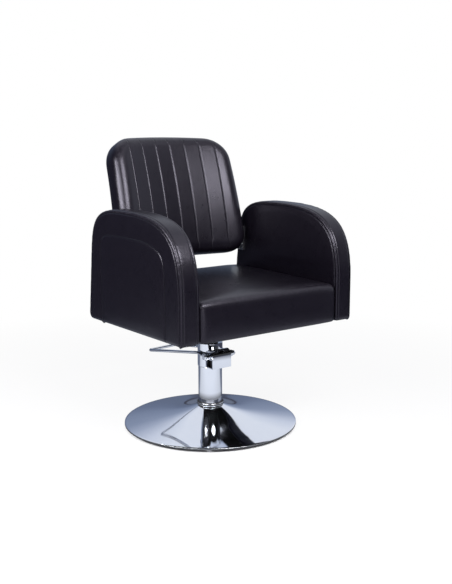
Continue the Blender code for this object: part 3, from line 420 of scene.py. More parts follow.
def line_distance(points, line):
    """Distance of points in a plane to a line of points, and the run along the line to the nearest place."""
    line = np.array(line)
    best = np.full(len(points), 1e9)
    run = np.zeros(len(points))
    so_far = 0.0
    for first, last in zip(line, line[1:]):
        way = last - first
        length = math.hypot(*way)
        if length < 1e-9:
            continue
        share = np.clip((points - first) @ way / length**2, 0, 1)
        gap = np.linalg.norm(points - first - share[:, None] * way, axis=1)
        nearer = gap < best
        best[nearer] = gap[nearer]
        run[nearer] = so_far + share[nearer] * length
        so_far += length
    return best, run


def inside_line(points, line):
    """Which points of a plane lie inside a closed line of points."""
    inside = np.zeros(len(points), bool)
    for (y0, z0), (y1, z1) in zip(line, line[1:] + line[:1]):
        crossed = (z0 > points[:, 1]) != (z1 > points[:, 1])
        place = y0 + (y1 - y0) * (points[:, 1] - z0) / (z1 - z0 if z1 != z0 else 1e-9)
        inside ^= crossed & (points[:, 0] < place)
    return inside


def rounded_line(line, rounds=2):
    """Cuts the corners of an open line of points, so that it bends softly."""
    for _ in range(rounds):
        cut = [line[0]]
        for (y0, z0), (y1, z1) in zip(line, line[1:]):
            cut.append((0.75 * y0 + 0.25 * y1, 0.75 * z0 + 0.25 * z1))
            cut.append((0.25 * y0 + 0.75 * y1, 0.25 * z0 + 0.75 * z1))
        line = cut + [line[-1]]
    return line


def slab_form(outline, place, shift):
    """A flat face through an outline, drawn out into a slab."""
    bm = bmesh.new()
    face = bm.faces.new([bm.verts.new(place(*p)) for p in outline])
    drawn = bmesh.ops.extrude_face_region(bm, geom=[face], use_keep_orig=True)
    moved = [v for v in drawn["geom"] if isinstance(v, bmesh.types.BMVert)]
    bmesh.ops.translate(bm, vec=shift, verts=moved)
    bmesh.ops.recalc_face_normals(bm, faces=bm.faces)
    return bm


def round_rim(bm, chosen, radius, segments):
    """Rounds the edges whose two ends are both chosen."""
    edges = [e for e in bm.edges if all(chosen(v.co) for v in e.verts)]
    bmesh.ops.bevel(bm, geom=edges, offset=radius, offset_type="OFFSET", affect="EDGES", segments=segments,
                    profile=0.5, material=-1, clamp_overlap=False)


# Arms


def arm_brow():
    """The arm's edge from the foot of its front, over the crest, down to the foot of its rear."""
    crest = (ARM_CREST_Y, ARM_TOP)
    front = bezier((ARM_FRONT, ARM_FRONT_STRAIGHT), (ARM_FRONT, ARM_FRONT_STRAIGHT + ARM_FRONT_HANDLE),
                   (ARM_CREST_Y - ARM_CREST_FRONT_HANDLE, ARM_TOP), crest, 48)
    lean = (ARM_REAR[0] - ARM_REAR_HANDLE * math.sin(ARM_REAR_LEAN),
            ARM_REAR[1] + ARM_REAR_HANDLE * math.cos(ARM_REAR_LEAN))
    rear = bezier(crest, (ARM_CREST_Y + ARM_CREST_REAR_HANDLE, ARM_TOP), lean, ARM_REAR, 36)
    foot = ARM_REAR[0] + (ARM_REAR[1] - ARM_BOTTOM) * math.tan(ARM_REAR_LEAN)
    heel = [(foot + ARM_HEEL * (math.cos(t) - 1), ARM_BOTTOM + ARM_HEEL * (1 - math.sin(t)))
            for t in (math.radians(a) for a in (0, 30, 60, 90))]
    toe = [(ARM_FRONT + ARM_TOE * (1 - math.cos(t)), ARM_BOTTOM + ARM_TOE * (1 - math.sin(t)))
           for t in (math.radians(a) for a in (90, 45, 0))]
    return toe + [tuple(p) for p in front] + [tuple(p) for p in rear[1:]] + heel


def arm_seams(points, edge):
    """Signed distances to the edge strip's seam and to the outer face's seam, and runs along both."""
    face_line = rounded_line(ARM_FACE_SEAM)
    inset, run = line_distance(points[:, 1:], edge)
    across = np.abs(np.abs(points[:, 0]) - ARM_INSIDE - ARM_THICKNESS / 2)
    strip = np.maximum(inset, ARM_THICKNESS / 2 - across) - ARM_STRIP
    away, face_run = line_distance(points[:, 1:], face_line)
    away = np.where(inside_line(points[:, 1:], face_line), -away, away)
    outward = np.abs(points[:, 0]) > ARM_OUTSIDE - ARM_FACE_BAND
    return strip, np.where(outward, away, NO_SEAM), run, face_run


def arm_grooves(strip, face, run):
    """How deep the cover is drawn in at its seams, with small puckers and a raised edge strip."""
    quick, slow, quicker = PUCKER_RATES
    pucker = np.sin(run * quick) * np.sin(run * slow + 1.0) + 0.6 * np.sin(run * quicker + 2.0)
    depth = STRIP_GROOVE[0] * bell(strip, STRIP_GROOVE[1]) + FACE_GROOVE[0] * bell(face, FACE_GROOVE[1])
    depth += STRIP_PUCKER[0] * pucker * bell(strip, STRIP_PUCKER[1])
    return depth - ARM_STRIP_RAISE * smooth_step(-strip, *ARM_STRIP_RISE)


def hang_seam_tails(points):
    """Draws down the sewn ends under the arm's outer edge."""
    for place, width in SEAM_TAILS:
        tail = bell(points[:, 1] - place, width)
        tail *= 1 - smooth_step(points[:, 2], ARM_BOTTOM, ARM_BOTTOM + SEAM_TAIL_HEIGHT)
        points[:, 2] -= SEAM_TAIL_DROP * tail * smooth_step(np.abs(points[:, 0]), *SEAM_TAIL_EDGE)


def make_arm(side, name, cover):
    """Arm pad: broad rounded band, narrow strips along its edges and a seam that follows its outline."""
    edge = arm_brow()
    inside = side * ARM_INSIDE
    outside = side * ARM_OUTSIDE
    bm = slab_form(edge, lambda y, z: (inside, y, z), (outside - inside, 0, 0))
    for x in (inside, outside):
        round_rim(bm, lambda co, x=x: abs(co.x - x) < 1e-5, ARM_EDGE, 6)
    obj = even_mesh(f"arm_cover_{name}", bm, COVER_VOXEL)

    points = points_of(obj.data)
    strip, face, _, _ = arm_seams(points, edge)
    sewn = np.minimum(np.abs(strip), np.abs(face)) < SEAM_HELD
    hidden = (points[:, 2] < ARM_SEAT_LINE) | (points[:, 1] > ARM_BACK_LINE)
    touching = (np.abs(points[:, 0]) < ARM_INSIDE + ARM_INSIDE_HELD) & hidden
    swell(obj, sewn | touching | (points[:, 2] < ARM_BOTTOM + ARM_FOOT_HELD), ARM_SWELL)
    settle(obj, 2)

    points = points_of(obj.data)
    strip, face, run, face_run = arm_seams(points, edge)
    points -= normals_of(obj.data) * arm_grooves(strip, face, run)[:, None]
    hang_seam_tails(points)
    room = ARM_INNER_SWELL * smooth_step(points[:, 2], *ARM_INNER_HEIGHTS)
    room *= 1 - smooth_step(points[:, 1], *ARM_INNER_DEPTHS)
    points[:, 0] = side * np.maximum(np.abs(points[:, 0]), ARM_INSIDE - room)
    move_points(obj.data, points)

    on_face = np.abs(face) < np.abs(strip)
    note(obj.data, "seam", np.where(on_face, face, strip))
    note(obj.data, "run", np.where(on_face, face_run, run))
    middle, width = ARM_WEAR
    note(obj.data, "wear", bell(strip - middle, width) * smooth_step(points[:, 2], *ARM_WEAR_HEIGHTS))
    dress(obj, cover, "black_leatherette", "seat", f"arm_pad_{name}")


# Seat


def seat_box():
    """Box with rounded uprights, a soft upper edge and a small rounded foot."""
    bm = bmesh.new()
    bmesh.ops.create_cube(bm, size=1.0)
    size = (2 * SEAT_HALF_WIDTH, SEAT_REAR - SEAT_FRONT, SEAT_HEIGHT)
    middle = (0, (SEAT_REAR + SEAT_FRONT) / 2, SEAT_BOTTOM + SEAT_HEIGHT / 2)
    bmesh.ops.scale(bm, vec=size, verts=bm.verts)
    bmesh.ops.translate(bm, vec=middle, verts=bm.verts)
    uprights = [e for e in bm.edges if abs(e.verts[0].co.z - e.verts[1].co.z) > SEAT_HEIGHT / 2]
    bmesh.ops.bevel(bm, geom=uprights, offset=SEAT_CORNER, offset_type="OFFSET", affect="EDGES", segments=6,
                    profile=0.5, material=-1)
    round_rim(bm, lambda co: co.z > SEAT_TOP - 1e-5, SEAT_EDGE, 7)
    round_rim(bm, lambda co: co.z < SEAT_BOTTOM + 1e-5, SEAT_FOOT_ROUND, 2)
    return bm


def make_seat(cover):
    """Box cushion with a crowned top, soft upper edges and a full front."""
    obj = even_mesh("seat_cover", seat_box(), SEAT_VOXEL)
    points = points_of(obj.data)
    lift = np.clip((points[:, 2] - SEAT_BOTTOM) / SEAT_HEIGHT, 0, 1)
    along = (points[:, 1] - SEAT_FRONT) / (SEAT_REAR - SEAT_FRONT)
    crown = np.clip(1 - (points[:, 0] / SEAT_HALF_WIDTH) ** 2, 0, 1) ** SEAT_CROWN_POWER
    crown = crown * np.clip(1 - (2 * along - 1) ** 2, 0, 1) ** SEAT_CROWN_POWER
    points[:, 2] += lift * (SEAT_RISE * along + SEAT_CROWN * crown)
    full = 1 - np.clip(np.abs(points[:, 0]) / SEAT_HALF_WIDTH, 0, 1) ** SEAT_FRONT_POWER
    full *= smooth_step(-points[:, 1], -SEAT_FRONT - SEAT_FRONT_REACH, -SEAT_FRONT)
    points[:, 1] -= SEAT_FRONT_FULLNESS * full
    move_points(obj.data, points)

    sides = np.abs(points[:, 0]) > SEAT_HALF_WIDTH - SEAT_SIDE_HELD
    swell(obj, sides | (points[:, 2] < SEAT_BOTTOM + SEAT_FOOT_HELD), SEAT_SWELL)
    settle(obj, 3)

    points = points_of(obj.data)
    points[:, 0] = np.clip(points[:, 0], -SEAT_HALF_WIDTH, SEAT_HALF_WIDTH)
    points[:, 2] = np.maximum(points[:, 2], SEAT_BOTTOM)
    move_points(obj.data, points)
    note(obj.data, "seam", np.full(len(points), NO_SEAM))
    middle, width = SEAT_WEAR
    note(obj.data, "wear", bell(points[:, 1] - middle, width) * (points[:, 2] > SEAT_WEAR_HEIGHT))
    dress(obj, cover, "black_leatherette", "seat", "seat_cushion")


# Backrest


def back_outline(inset):
    """Rounded outline of the backrest drawn flat, as (across, rise), drawn in by an inset."""
    quarter = [math.radians(a) for a in range(0, 91, 10)]
    low = BACK_CORNER_BOTTOM - inset
    high = BACK_CORNER_TOP - inset
    top = BACK_LENGTH - inset
    rows = [(inset + low * (1 - math.cos(t)), low * (1 - math.sin(t))) for t in quarter]
    rows += [(top - high * (1 - math.cos(t)), high * (1 - math.sin(t))) for t in reversed(quarter)]
    right = []
    for rise, cut in rows:
        half = BACK_HALF_BOTTOM + (BACK_HALF_TOP - BACK_HALF_BOTTOM) * rise / BACK_LENGTH
        right.append((half - inset - cut, rise))
    return right + [(-x, rise) for x, rise in reversed(right)]


def bend_back(points):
    """Bends points drawn flat (across, depth, rise) to the backrest's leaning, hollow form."""
    across, depth, rise = points[:, 0], points[:, 1], points[:, 2]
    rise = rise - BACK_TOP_ARCH * np.clip(rise / BACK_LENGTH, 0, 2) ** 3 * (across / BACK_HALF_TOP) ** 2
    lean = BACK_LEAN + rise / BACK_ARC_RADIUS
    y = BACK_BOTTOM_Y + BACK_ARC_RADIUS * (math.cos(BACK_LEAN) - np.cos(lean))
    y = y - across**2 / (2 * BACK_HOLLOW_RADIUS)
    z = BACK_BOTTOM_Z + BACK_ARC_RADIUS * (np.sin(lean) - math.sin(BACK_LEAN))
    return np.stack([across, y + depth * np.cos(lean), z - depth * np.sin(lean)], axis=1)


def channel_wave(across):
    """Distance to the nearest sewn line, its sign changing from line to line."""
    share = across / CHANNEL_PITCH
    nearest = np.clip(np.round(share), -(CHANNEL_COUNT // 2), CHANNEL_COUNT // 2)
    away = (share - nearest) * CHANNEL_PITCH
    return away * np.where(nearest % 2 == 0, 1, -1)


def channels(points):
    """Distance to the nearest sewn line, and how strongly it is sewn there."""
    line = np.abs(channel_wave(points[:, 0]))
    strength = smooth_step(points[:, 2], *CHANNEL_FOOT) * (1 - smooth_step(points[:, 2], *CHANNEL_HEAD))
    return line, strength * (1 - smooth_step(points[:, 1], *CHANNEL_FRONT))


def make_back_cushion(cover):
    """Backrest cushion with upright sewn channels."""
    bm = slab_form(back_outline(0), lambda x, rise: (x, 0, rise), (0, BACK_THICKNESS, 0))
    round_rim(bm, lambda co: co.y < 1e-5, BACK_FRONT_EDGE, 12)
    round_rim(bm, lambda co: co.y > BACK_THICKNESS - 1e-5, BACK_REAR_EDGE, 5)
    obj = even_mesh("back_cover", bm, COVER_VOXEL)

    points = points_of(obj.data)
    line, strength = channels(points)
    rear = points[:, 1] > BACK_THICKNESS - BACK_REAR_HELD
    swell(obj, ((line < CHANNEL_HELD) & (strength > CHANNEL_HELD_FROM)) | rear, BACK_SWELL)
    settle(obj, 4)

    points = points_of(obj.data)
    line, strength = channels(points)
    groove = CHANNEL_DEPTH * np.clip(1 - line / CHANNEL_LIP, 0, 1) ** CHANNEL_POWER
    quick, slow, across = CHANNEL_PUCKER_RATES
    pucker = np.sin(points[:, 2] * quick) * np.sin(points[:, 2] * slow + points[:, 0] * across)
    points[:, 1] += groove * strength * (1 + CHANNEL_PUCKER * pucker)
    unsewn = CHANNEL_HELD * (1 - smooth_step(strength, *CHANNEL_SEAM_FROM))
    note(obj.data, "seam", channel_wave(points[:, 0]) + unsewn)
    note(obj.data, "run", points[:, 2])
    middle, width = BACK_WEAR
    note(obj.data, "wear", bell(points[:, 1] - middle, width) * smooth_step(points[:, 2], *BACK_WEAR_HEIGHTS))
    move_points(obj.data, bend_back(points))
    dress(obj, cover, "black_leatherette", "seat", "back_cushion")


def make_back_panel(cover):
    """Padded rear panel, flat where the side brackets lie on it."""
    low, high = PANEL_DEPTHS
    bm = slab_form(back_outline(PANEL_INSET), lambda x, rise: (x, low, rise), (0, high - low, 0))
    round_rim(bm, lambda co: co.y > high - 1e-5, PANEL_EDGE, 4)
    obj = even_mesh("back_panel_cover", bm, COVER_VOXEL)

    points = points_of(obj.data)
    bracket = (np.abs(points[:, 0]) > BRACKET_HELD[0]) & (points[:, 2] < BRACKET_HELD[1])
    swell(obj, (points[:, 1] < high - PANEL_SKIN) | bracket, PANEL_SWELL, PANEL_PRESSURE)
    settle(obj, 2)

    points = points_of(obj.data)
    bracket = smooth_step(np.abs(points[:, 0]), *BRACKET_SIDE)
    bracket *= 1 - smooth_step(points[:, 2], *BRACKET_HEAD)
    points[:, 1] = np.where(bracket > 0.5, np.minimum(points[:, 1], high), points[:, 1])
    note(obj.data, "seam", np.full(len(points), NO_SEAM))
    note(obj.data, "wear", np.zeros(len(points)))
    move_points(obj.data, bend_back(points))
    dress(obj, cover, "black_leatherette", "seat", "back_panel")


# Metalwork


def turned(name, profile, steps):
    """Closed body turned about Z from an outline of (radius, height) points."""
    bm = bmesh.new()
    ring = [bm.verts.new((radius, 0, height)) for radius, height in profile]
    pairs = zip(ring, ring[1:] + ring[:1])
    edges = [bm.edges.new((a, b)) for a, b in pairs if a.co.x > 0 or b.co.x > 0]
    bmesh.ops.spin(bm, geom=ring + edges, cent=(0, 0, 0), axis=(0, 0, 1), angle=2 * math.pi, steps=steps,
                   use_merge=True)
    return from_bmesh(name, bm)


def arc(centre, radius, start, end, steps):
    turns = [math.radians(start + (end - start) * i / steps) for i in range(steps + 1)]
    return [(centre[0] + radius * math.cos(t), centre[1] + radius * math.sin(t)) for t in turns]


def dish_height(radius):
    share = max((BASE_RADIUS - radius) / (BASE_RADIUS - NECK_RADIUS), 0.0)
    return RIM_TOP + DISH_RISE * (DISH_CONE * share + (1 - DISH_CONE) * share**DISH_FLARE)


def make_dish(chrome):
    """Spun dish with a turned-down rim."""
    flat = BASE_RADIUS - RIM_ROUND
    shares = [(i / DISH_RINGS) ** DISH_SPACING for i in range(DISH_RINGS + 1)]
    radii = [NECK_RADIUS + (flat - NECK_RADIUS) * share for share in shares]
    outer = [(r, dish_height(r)) for r in radii]
    outer += arc((flat, RIM_TOP - RIM_ROUND), RIM_ROUND, 75, 0, 6) + [(BASE_RADIUS, BASE_BOTTOM)]
    inner = [(BASE_RADIUS - SHEET, BASE_BOTTOM), (BASE_RADIUS - SHEET, RIM_TOP - SHEET)]
    inner += [(r, dish_height(r) - SHEET) for r in radii[-2::-5] + [NECK_RADIUS]]
    obj = turned("base_dish_spun", outer + inner, DISH_STEPS)
    dress(obj, chrome, "chrome", "base", "base_dish", sharp=SPUN_SHARP_ANGLE)


def make_column(chrome):
    """Polished tube."""
    wall = COLUMN_RADIUS - COLUMN_WALL
    tube = [(wall, COLUMN_TOP), (COLUMN_RADIUS, COLUMN_TOP)]
    tube += [(COLUMN_RADIUS, COLUMN_BOTTOM), (wall, COLUMN_BOTTOM)]
    obj = turned("column_polished", tube, COLUMN_STEPS)
    dress(obj, chrome, "chrome", "base", "column_tube", sharp=SPUN_SHARP_ANGLE)


def make_ring(chrome, ring_shade):
    """Double ring at the column's foot, with painted shade in black rubber above, between and below its two
    beads.
    """
    low = dish_height(NECK_RADIUS) + RING_GAP + RING_BEAD
    ring = [(NECK_RADIUS, low + 3 * RING_BEAD)]
    ring += arc((RING_MIDDLE, low + 2 * RING_BEAD), RING_BEAD, 90, -60, 6)
    ring += arc((RING_MIDDLE, low), RING_BEAD, 60, -90, 6) + [(NECK_RADIUS, low - RING_BEAD)]
    obj = turned("column_double_ring", ring, COLUMN_STEPS)
    dress(obj, chrome, "chrome", "base", "column_ring", sharp=SMALL_SHARP_ANGLE)
    # Painted shade: black rubber on the faces in the groove and at the ring's top and foot
    obj.data.materials.append(ring_shade)
    for face in obj.data.polygons:
        beads_up = (face.center.z - low) / RING_BEAD
        in_groove = RING_PAINTED_SHADE_GROOVE[0] < beads_up < RING_PAINTED_SHADE_GROOVE[1]
        if in_groove or beads_up < RING_PAINTED_SHADE_FOOT or beads_up > RING_PAINTED_SHADE_HEAD:
            face.material_index = 1


def smoothed(node, material, slot, body, bevel=FINE_EDGE):
    """A merged copy of a rigid node with smooth faces and fine rounded edges."""
    bm = bmesh.new()
    bm.from_mesh(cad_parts[node].data)
    bmesh.ops.remove_doubles(bm, verts=bm.verts, dist=1e-6)
    bmesh.ops.dissolve_limit(bm, angle_limit=math.radians(1), verts=bm.verts, edges=bm.edges)
    obj = from_bmesh(f"{node}_finished", bm)
    dress(obj, material, slot, body, node, sharp=SHARP_ANGLE)
    if bevel:
        modifier = obj.modifiers.new("fine_edge", "BEVEL")
        modifier.width = bevel
        modifier.segments = 2
        modifier.limit_method = "ANGLE"
        modifier.angle_limit = math.radians(SHARP_ANGLE)
    return obj


def make_pump_head(chrome, iron):
    """Plated pump head, with dark iron inside the window in the side of its block as painted shade in that
    recess.
    """
    obj = smoothed("pump_head", chrome, "chrome", "base")
    # Painted shade: the faces inside the window get the dark iron finish
    obj.data.materials.append(iron)
    for face in obj.data.polygons:
        if all(WINDOW_LOW[k] < face.center[k] < WINDOW_HIGH[k] for k in range(3)):
            face.material_index = 1


def make_lever(chrome):
    """Bent rod, hubs and shaft ends of the foot lever."""
    smoothed("lever_loop", chrome, "chrome", "lever", bevel=0)
    for node in ("lever_hub_left", "lever_hub_right", "lever_nut", "lever_ball"):
        smoothed(node, chrome, "chrome", "lever")


def make_return_spring(steel):
    """Plunger's spring, which shortens as the lever goes down."""
    spring = smoothed("return_spring", steel, "steel", "base", bevel=0)
    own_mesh(spring)


def make_flange_screws(steel):
    """Socket screws that hold the side brackets to the rear of the backrest."""
    for side, name in ((-1, "left"), (1, "right")):
        for number, rise in enumerate(FLANGE_SCREW_RISES):
            places = [(side * FLANGE_SCREW_ACROSS, FLANGE_DEPTH + step, rise) for step in (0, 0.001)]
            foot, ahead = (Vector(p) for p in bend_back(np.array(places)))
            obj = turned(f"flange_screw_{name}_{number + 1}", SCREW_HEAD, 24)
            turn = (ahead - foot).to_track_quat("Z", "Y").to_matrix().to_4x4()
            obj.data.transform(Matrix.Translation(foot) @ turn)
            dress(obj, steel, "steel", "seat", sharp=SMALL_SHARP_ANGLE)


# Finishes


class Nodes:
    """Short ways to add nodes to a node tree."""

    def __init__(self, tree, coordinates):
        self.tree = tree
        self.place = tree.nodes.new("ShaderNodeTexCoord").outputs[coordinates]

    def add(self, kind, settings=(), **sockets):
        node = self.tree.nodes.new(kind)
        for name, value in dict(settings).items():
            setattr(node, name, value)
        for name, value in sockets.items():
            self.set(node.inputs[name.replace("_", " ")], value)
        return node

    def set(self, socket, value):
        if isinstance(value, bpy.types.NodeSocket):
            self.tree.links.new(value, socket)
        else:
            socket.default_value = value

    def noise(self, scale, detail=2.0, place=None):
        node = self.add("ShaderNodeTexNoise", Vector=place or self.place, Scale=scale, Detail=detail)
        return node.outputs["Fac"]

    def spread(self, value, low, high, to_low, to_high):
        """Maps a span of values to another one, without running past its ends."""
        node = self.add("ShaderNodeMapRange", {"clamp": True}, Value=value)
        for name, number in (("From Min", low), ("From Max", high), ("To Min", to_low), ("To Max", to_high)):
            node.inputs[name].default_value = number
        return node.outputs["Result"]

    def sums(self, operation, first, second=0.0):
        node = self.add("ShaderNodeMath", {"operation": operation})
        self.set(node.inputs[0], first)
        self.set(node.inputs[1], second)
        return node.outputs[0]

    def along(self, way):
        """How far the place lies along a way."""
        node = self.add("ShaderNodeVectorMath", {"operation": "DOT_PRODUCT"}, Vector=self.place)
        node.inputs[1].default_value = way
        return node.outputs["Value"]

    def mix(self, share, first, second):
        node = self.add("ShaderNodeMix", {"data_type": "RGBA"})
        self.set(node.inputs["Factor"], share)
        self.set(node.inputs["A"], (*first, 1) if isinstance(first, tuple) else first)
        self.set(node.inputs["B"], (*second, 1) if isinstance(second, tuple) else second)
        return node.outputs["Result"]

    def bump(self, height, distance, strength, after=None):
        node = self.add("ShaderNodeBump", Height=height, Distance=distance, Strength=strength)
        if after:
            self.set(node.inputs["Normal"], after)
        return node.outputs["Normal"]

    def point_value(self, name):
        return self.add("ShaderNodeAttribute", {"attribute_name": name}).outputs["Fac"]

    def layers(self, lowest, *upper):
        """Shaders laid one over the other, each with its share."""
        so_far = lowest.outputs[0]
        for share, shade in upper:
            node = self.add("ShaderNodeMixShader")
            for socket, value in zip(node.inputs, (share, so_far, shade.outputs[0])):
                self.set(socket, value)
            so_far = node.outputs[0]
        return so_far


class Finish(Nodes):
    """A material with its shader."""

    def __init__(self, name, colour, roughness, metallic=0.0):
        self.material = bpy.data.materials.new(name)
        self.material.use_nodes = True
        super().__init__(self.material.node_tree, "Object")
        self.shader = self.tree.nodes["Principled BSDF"]
        self.put("Base Color", (*colour, 1))
        self.put("Roughness", roughness)
        self.put("Metallic", metallic)

    def put(self, name, value):
        self.set(self.shader.inputs[name], value)


def leatherette_finish():
    """Blue-black leatherette: pebbled grain, soft gloss, dark sewn seams and lightly rubbed edges."""
    f = Finish("black_leatherette_cover", (0.006, 0.004, 0.008), 0.32)
    broad = f.sums("MULTIPLY", f.noise(38, 3.0), 0.45)
    cloudy = f.sums("ADD", broad, f.sums("MULTIPLY", f.noise(330, 2.0), 0.55))
    seam = f.sums("ABSOLUTE", f.point_value("seam"))
    stitch = f.sums("SINE", f.sums("MULTIPLY", f.point_value("run"), 2 * math.pi / STITCH_LENGTH))
    stitch = f.spread(stitch, -0.9, -0.3, 0.4, 1.0)
    thread = f.sums("MULTIPLY", f.spread(seam, 0.0003, 0.0014, 1.0, 0.0), stitch)
    rubbed = f.sums("MULTIPLY", f.point_value("wear"), f.spread(f.noise(160), 0.40, 0.70, 0.0, 1.0))
    colour = f.mix(cloudy, (0.0024, 0.0018, 0.0036), (0.0042, 0.0032, 0.0060))
    colour = f.mix(rubbed, colour, (0.018, 0.016, 0.021))
    f.put("Base Color", f.mix(thread, colour, (0.0015, 0.0015, 0.0020)))
    gloss = f.spread(cloudy, 0.3, 0.7, 0.265, 0.335)
    f.put("Roughness", f.sums("ADD", gloss, f.sums("MULTIPLY", rubbed, 0.08)))
    f.put("Specular IOR Level", 0.40)
    f.put("Specular Tint", (0.88, 0.84, 1.0, 1))
    pebble = f.add("ShaderNodeTexVoronoi", {"feature": "DISTANCE_TO_EDGE"}, Vector=f.place, Scale=460.0)
    grain = f.spread(pebble.outputs["Distance"], 0.0, 0.25, 0.0, 1.0)
    grain = f.sums("ADD", grain, f.sums("MULTIPLY", f.noise(1900, 1.0), 0.5))
    normal = f.bump(grain, 0.00012, 0.35)
    normal = f.bump(f.noise(280, 3.0), 0.0003, 0.22, normal)
    sunk = f.spread(seam, 0.0, 0.0024, 0.0, 1.0)
    f.put("Normal", f.bump(sunk, 0.0012, 0.7, normal))
    return f.material


def chrome_finish():
    """Bright chrome with faint haze and fine polishing marks."""
    f = Finish("polished_chrome", (0.80, 0.82, 0.86), 0.05, 1.0)
    haze = f.noise(22, 4.0)
    f.put("Roughness", f.spread(haze, 0.35, 0.75, 0.030, 0.085))
    f.put("Base Color", f.mix(haze, (0.80, 0.825, 0.875), (0.86, 0.875, 0.905)))
    f.put("Normal", f.bump(f.noise(900, 1.0), 0.00002, 0.05))
    return f.material


def metal_finish(name, dark, light, roughness, scale, depth):
    """Plain metal with a worked surface."""
    f = Finish(name, light, roughness, 1.0)
    blotch = f.noise(scale, 4.0)
    f.put("Base Color", f.mix(blotch, dark, light))
    f.put("Roughness", f.spread(blotch, 0.3, 0.7, roughness - 0.06, roughness + 0.08))
    f.put("Normal", f.bump(f.noise(scale * 30, 2.0), depth, 0.4))
    return f.material


def dull_finish(name, dark, light, roughness, scale, depth, sheen=0.5):
    """Rubber, plastic and cloth: uneven colour and a fine rough surface."""
    f = Finish(name, light, roughness)
    f.put("Specular IOR Level", sheen)
    blotch = f.noise(scale, 4.0)
    f.put("Base Color", f.mix(blotch, dark, light))
    f.put("Roughness", f.spread(blotch, 0.3, 0.7, roughness - 0.05, min(roughness + 0.05, 1.0)))
    f.put("Normal", f.bump(f.noise(scale * 20, 2.0), depth, 0.5))
    return f.material


def plywood_finish():
    """Raw plywood: long grain on the faces."""
    f = Finish("raw_plywood", (0.5, 0.36, 0.2), 0.65)
    stretched = f.add("ShaderNodeMapping", Vector=f.place, Scale=(60.0, 6.0, 60.0)).outputs["Vector"]
    grain = f.noise(4.0, 5.0, stretched)
    f.put("Base Color", f.mix(grain, (0.34, 0.22, 0.11), (0.60, 0.45, 0.27)))
    f.put("Normal", f.bump(grain, 0.0003, 0.4))
    return f.material


def make_finishes():
    """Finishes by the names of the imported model's slots."""
    return {
        "black_leatherette": leatherette_finish(),
        "chrome": chrome_finish(),
        "steel": metal_finish("zinc_steel", (0.42, 0.43, 0.45), (0.62, 0.63, 0.65),
                              roughness=0.28, scale=60, depth=0.00003),
        "cast_iron": metal_finish("cast_iron_grey", (0.03, 0.03, 0.033), (0.07, 0.07, 0.075),
                                  roughness=0.60, scale=40, depth=0.0002),
        "bronze": metal_finish("bronze_bearing", (0.45, 0.30, 0.13), (0.66, 0.47, 0.22),
                               roughness=0.35, scale=60, depth=0.00004),
        "black_rubber": dull_finish("black_rubber_matt", (0.012, 0.012, 0.013), (0.022, 0.022, 0.024),
                                    roughness=0.65, scale=60, depth=0.00008),
        "dust_cloth": dull_finish("dust_cloth_black", (0.003, 0.003, 0.003), (0.007, 0.007, 0.007),
                                  roughness=0.90, scale=90, depth=0.0002, sheen=0.05),
        "pale_plastic": dull_finish("pale_plastic_foot", (0.66, 0.68, 0.70), (0.76, 0.78, 0.80),
                                    roughness=0.35, scale=40, depth=0.00004),
        "plywood": plywood_finish(),
    }


def finish_nodes(finishes):
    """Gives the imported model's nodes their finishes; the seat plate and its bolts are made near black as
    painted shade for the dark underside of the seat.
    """
    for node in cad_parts.values():
        for place in node.material_slots:
            name = place.material.name.split(".")[0] if place.material else "steel"
            place.material = finishes.get(name, finishes["steel"])
    # Painted shade: the zinc seat plate and its bolts are coloured near black
    painted_shade_zinc = metal_finish("painted_shade_zinc_steel", (0.030, 0.030, 0.034), (0.055, 0.055, 0.060),
                              roughness=0.42, scale=60, depth=0.00003)
    for name in ("seat_plate", *(f"plate_bolt_{number}" for number in range(1, 5))):
        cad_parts[name].material_slots[0].material = painted_shade_zinc


# Studio


def place_camera():
    """Camera at the photograph's place, turn and angle of view."""
    level = math.cos(CAMERA_TILT)
    back = Vector((math.sin(CAMERA_TURN) * level, -math.cos(CAMERA_TURN) * level, math.sin(CAMERA_TILT)))
    right = Vector((math.cos(CAMERA_TURN), math.sin(CAMERA_TURN), 0))
    up = back.cross(right)
    rolled_right = right * math.cos(CAMERA_ROLL) + up * math.sin(CAMERA_ROLL)
    rolled_up = up * math.cos(CAMERA_ROLL) - right * math.sin(CAMERA_ROLL)
    camera = link("camera", bpy.data.cameras.new("camera"))
    camera.data.sensor_width = SENSOR_MM
    camera.data.lens = FOCAL_PIXELS / PICTURE_PIXELS * SENSOR_MM
    camera.matrix_world = Matrix((rolled_right, rolled_up, back)).transposed().to_4x4()
    camera.location = CAMERA_PLACE
    bpy.context.scene.camera = camera


def soft_light(name, place, target, size, power):
    lamp = bpy.data.lights.new(name, "AREA")
    lamp.shape = "RECTANGLE"
    lamp.size, lamp.size_y = size
    lamp.energy = power
    obj = link(name, lamp)
    way = Vector(target) - Vector(place)
    obj.matrix_world = way.to_track_quat("-Z", "Y").to_matrix().to_4x4()
    obj.location = place
    obj.visible_camera = False


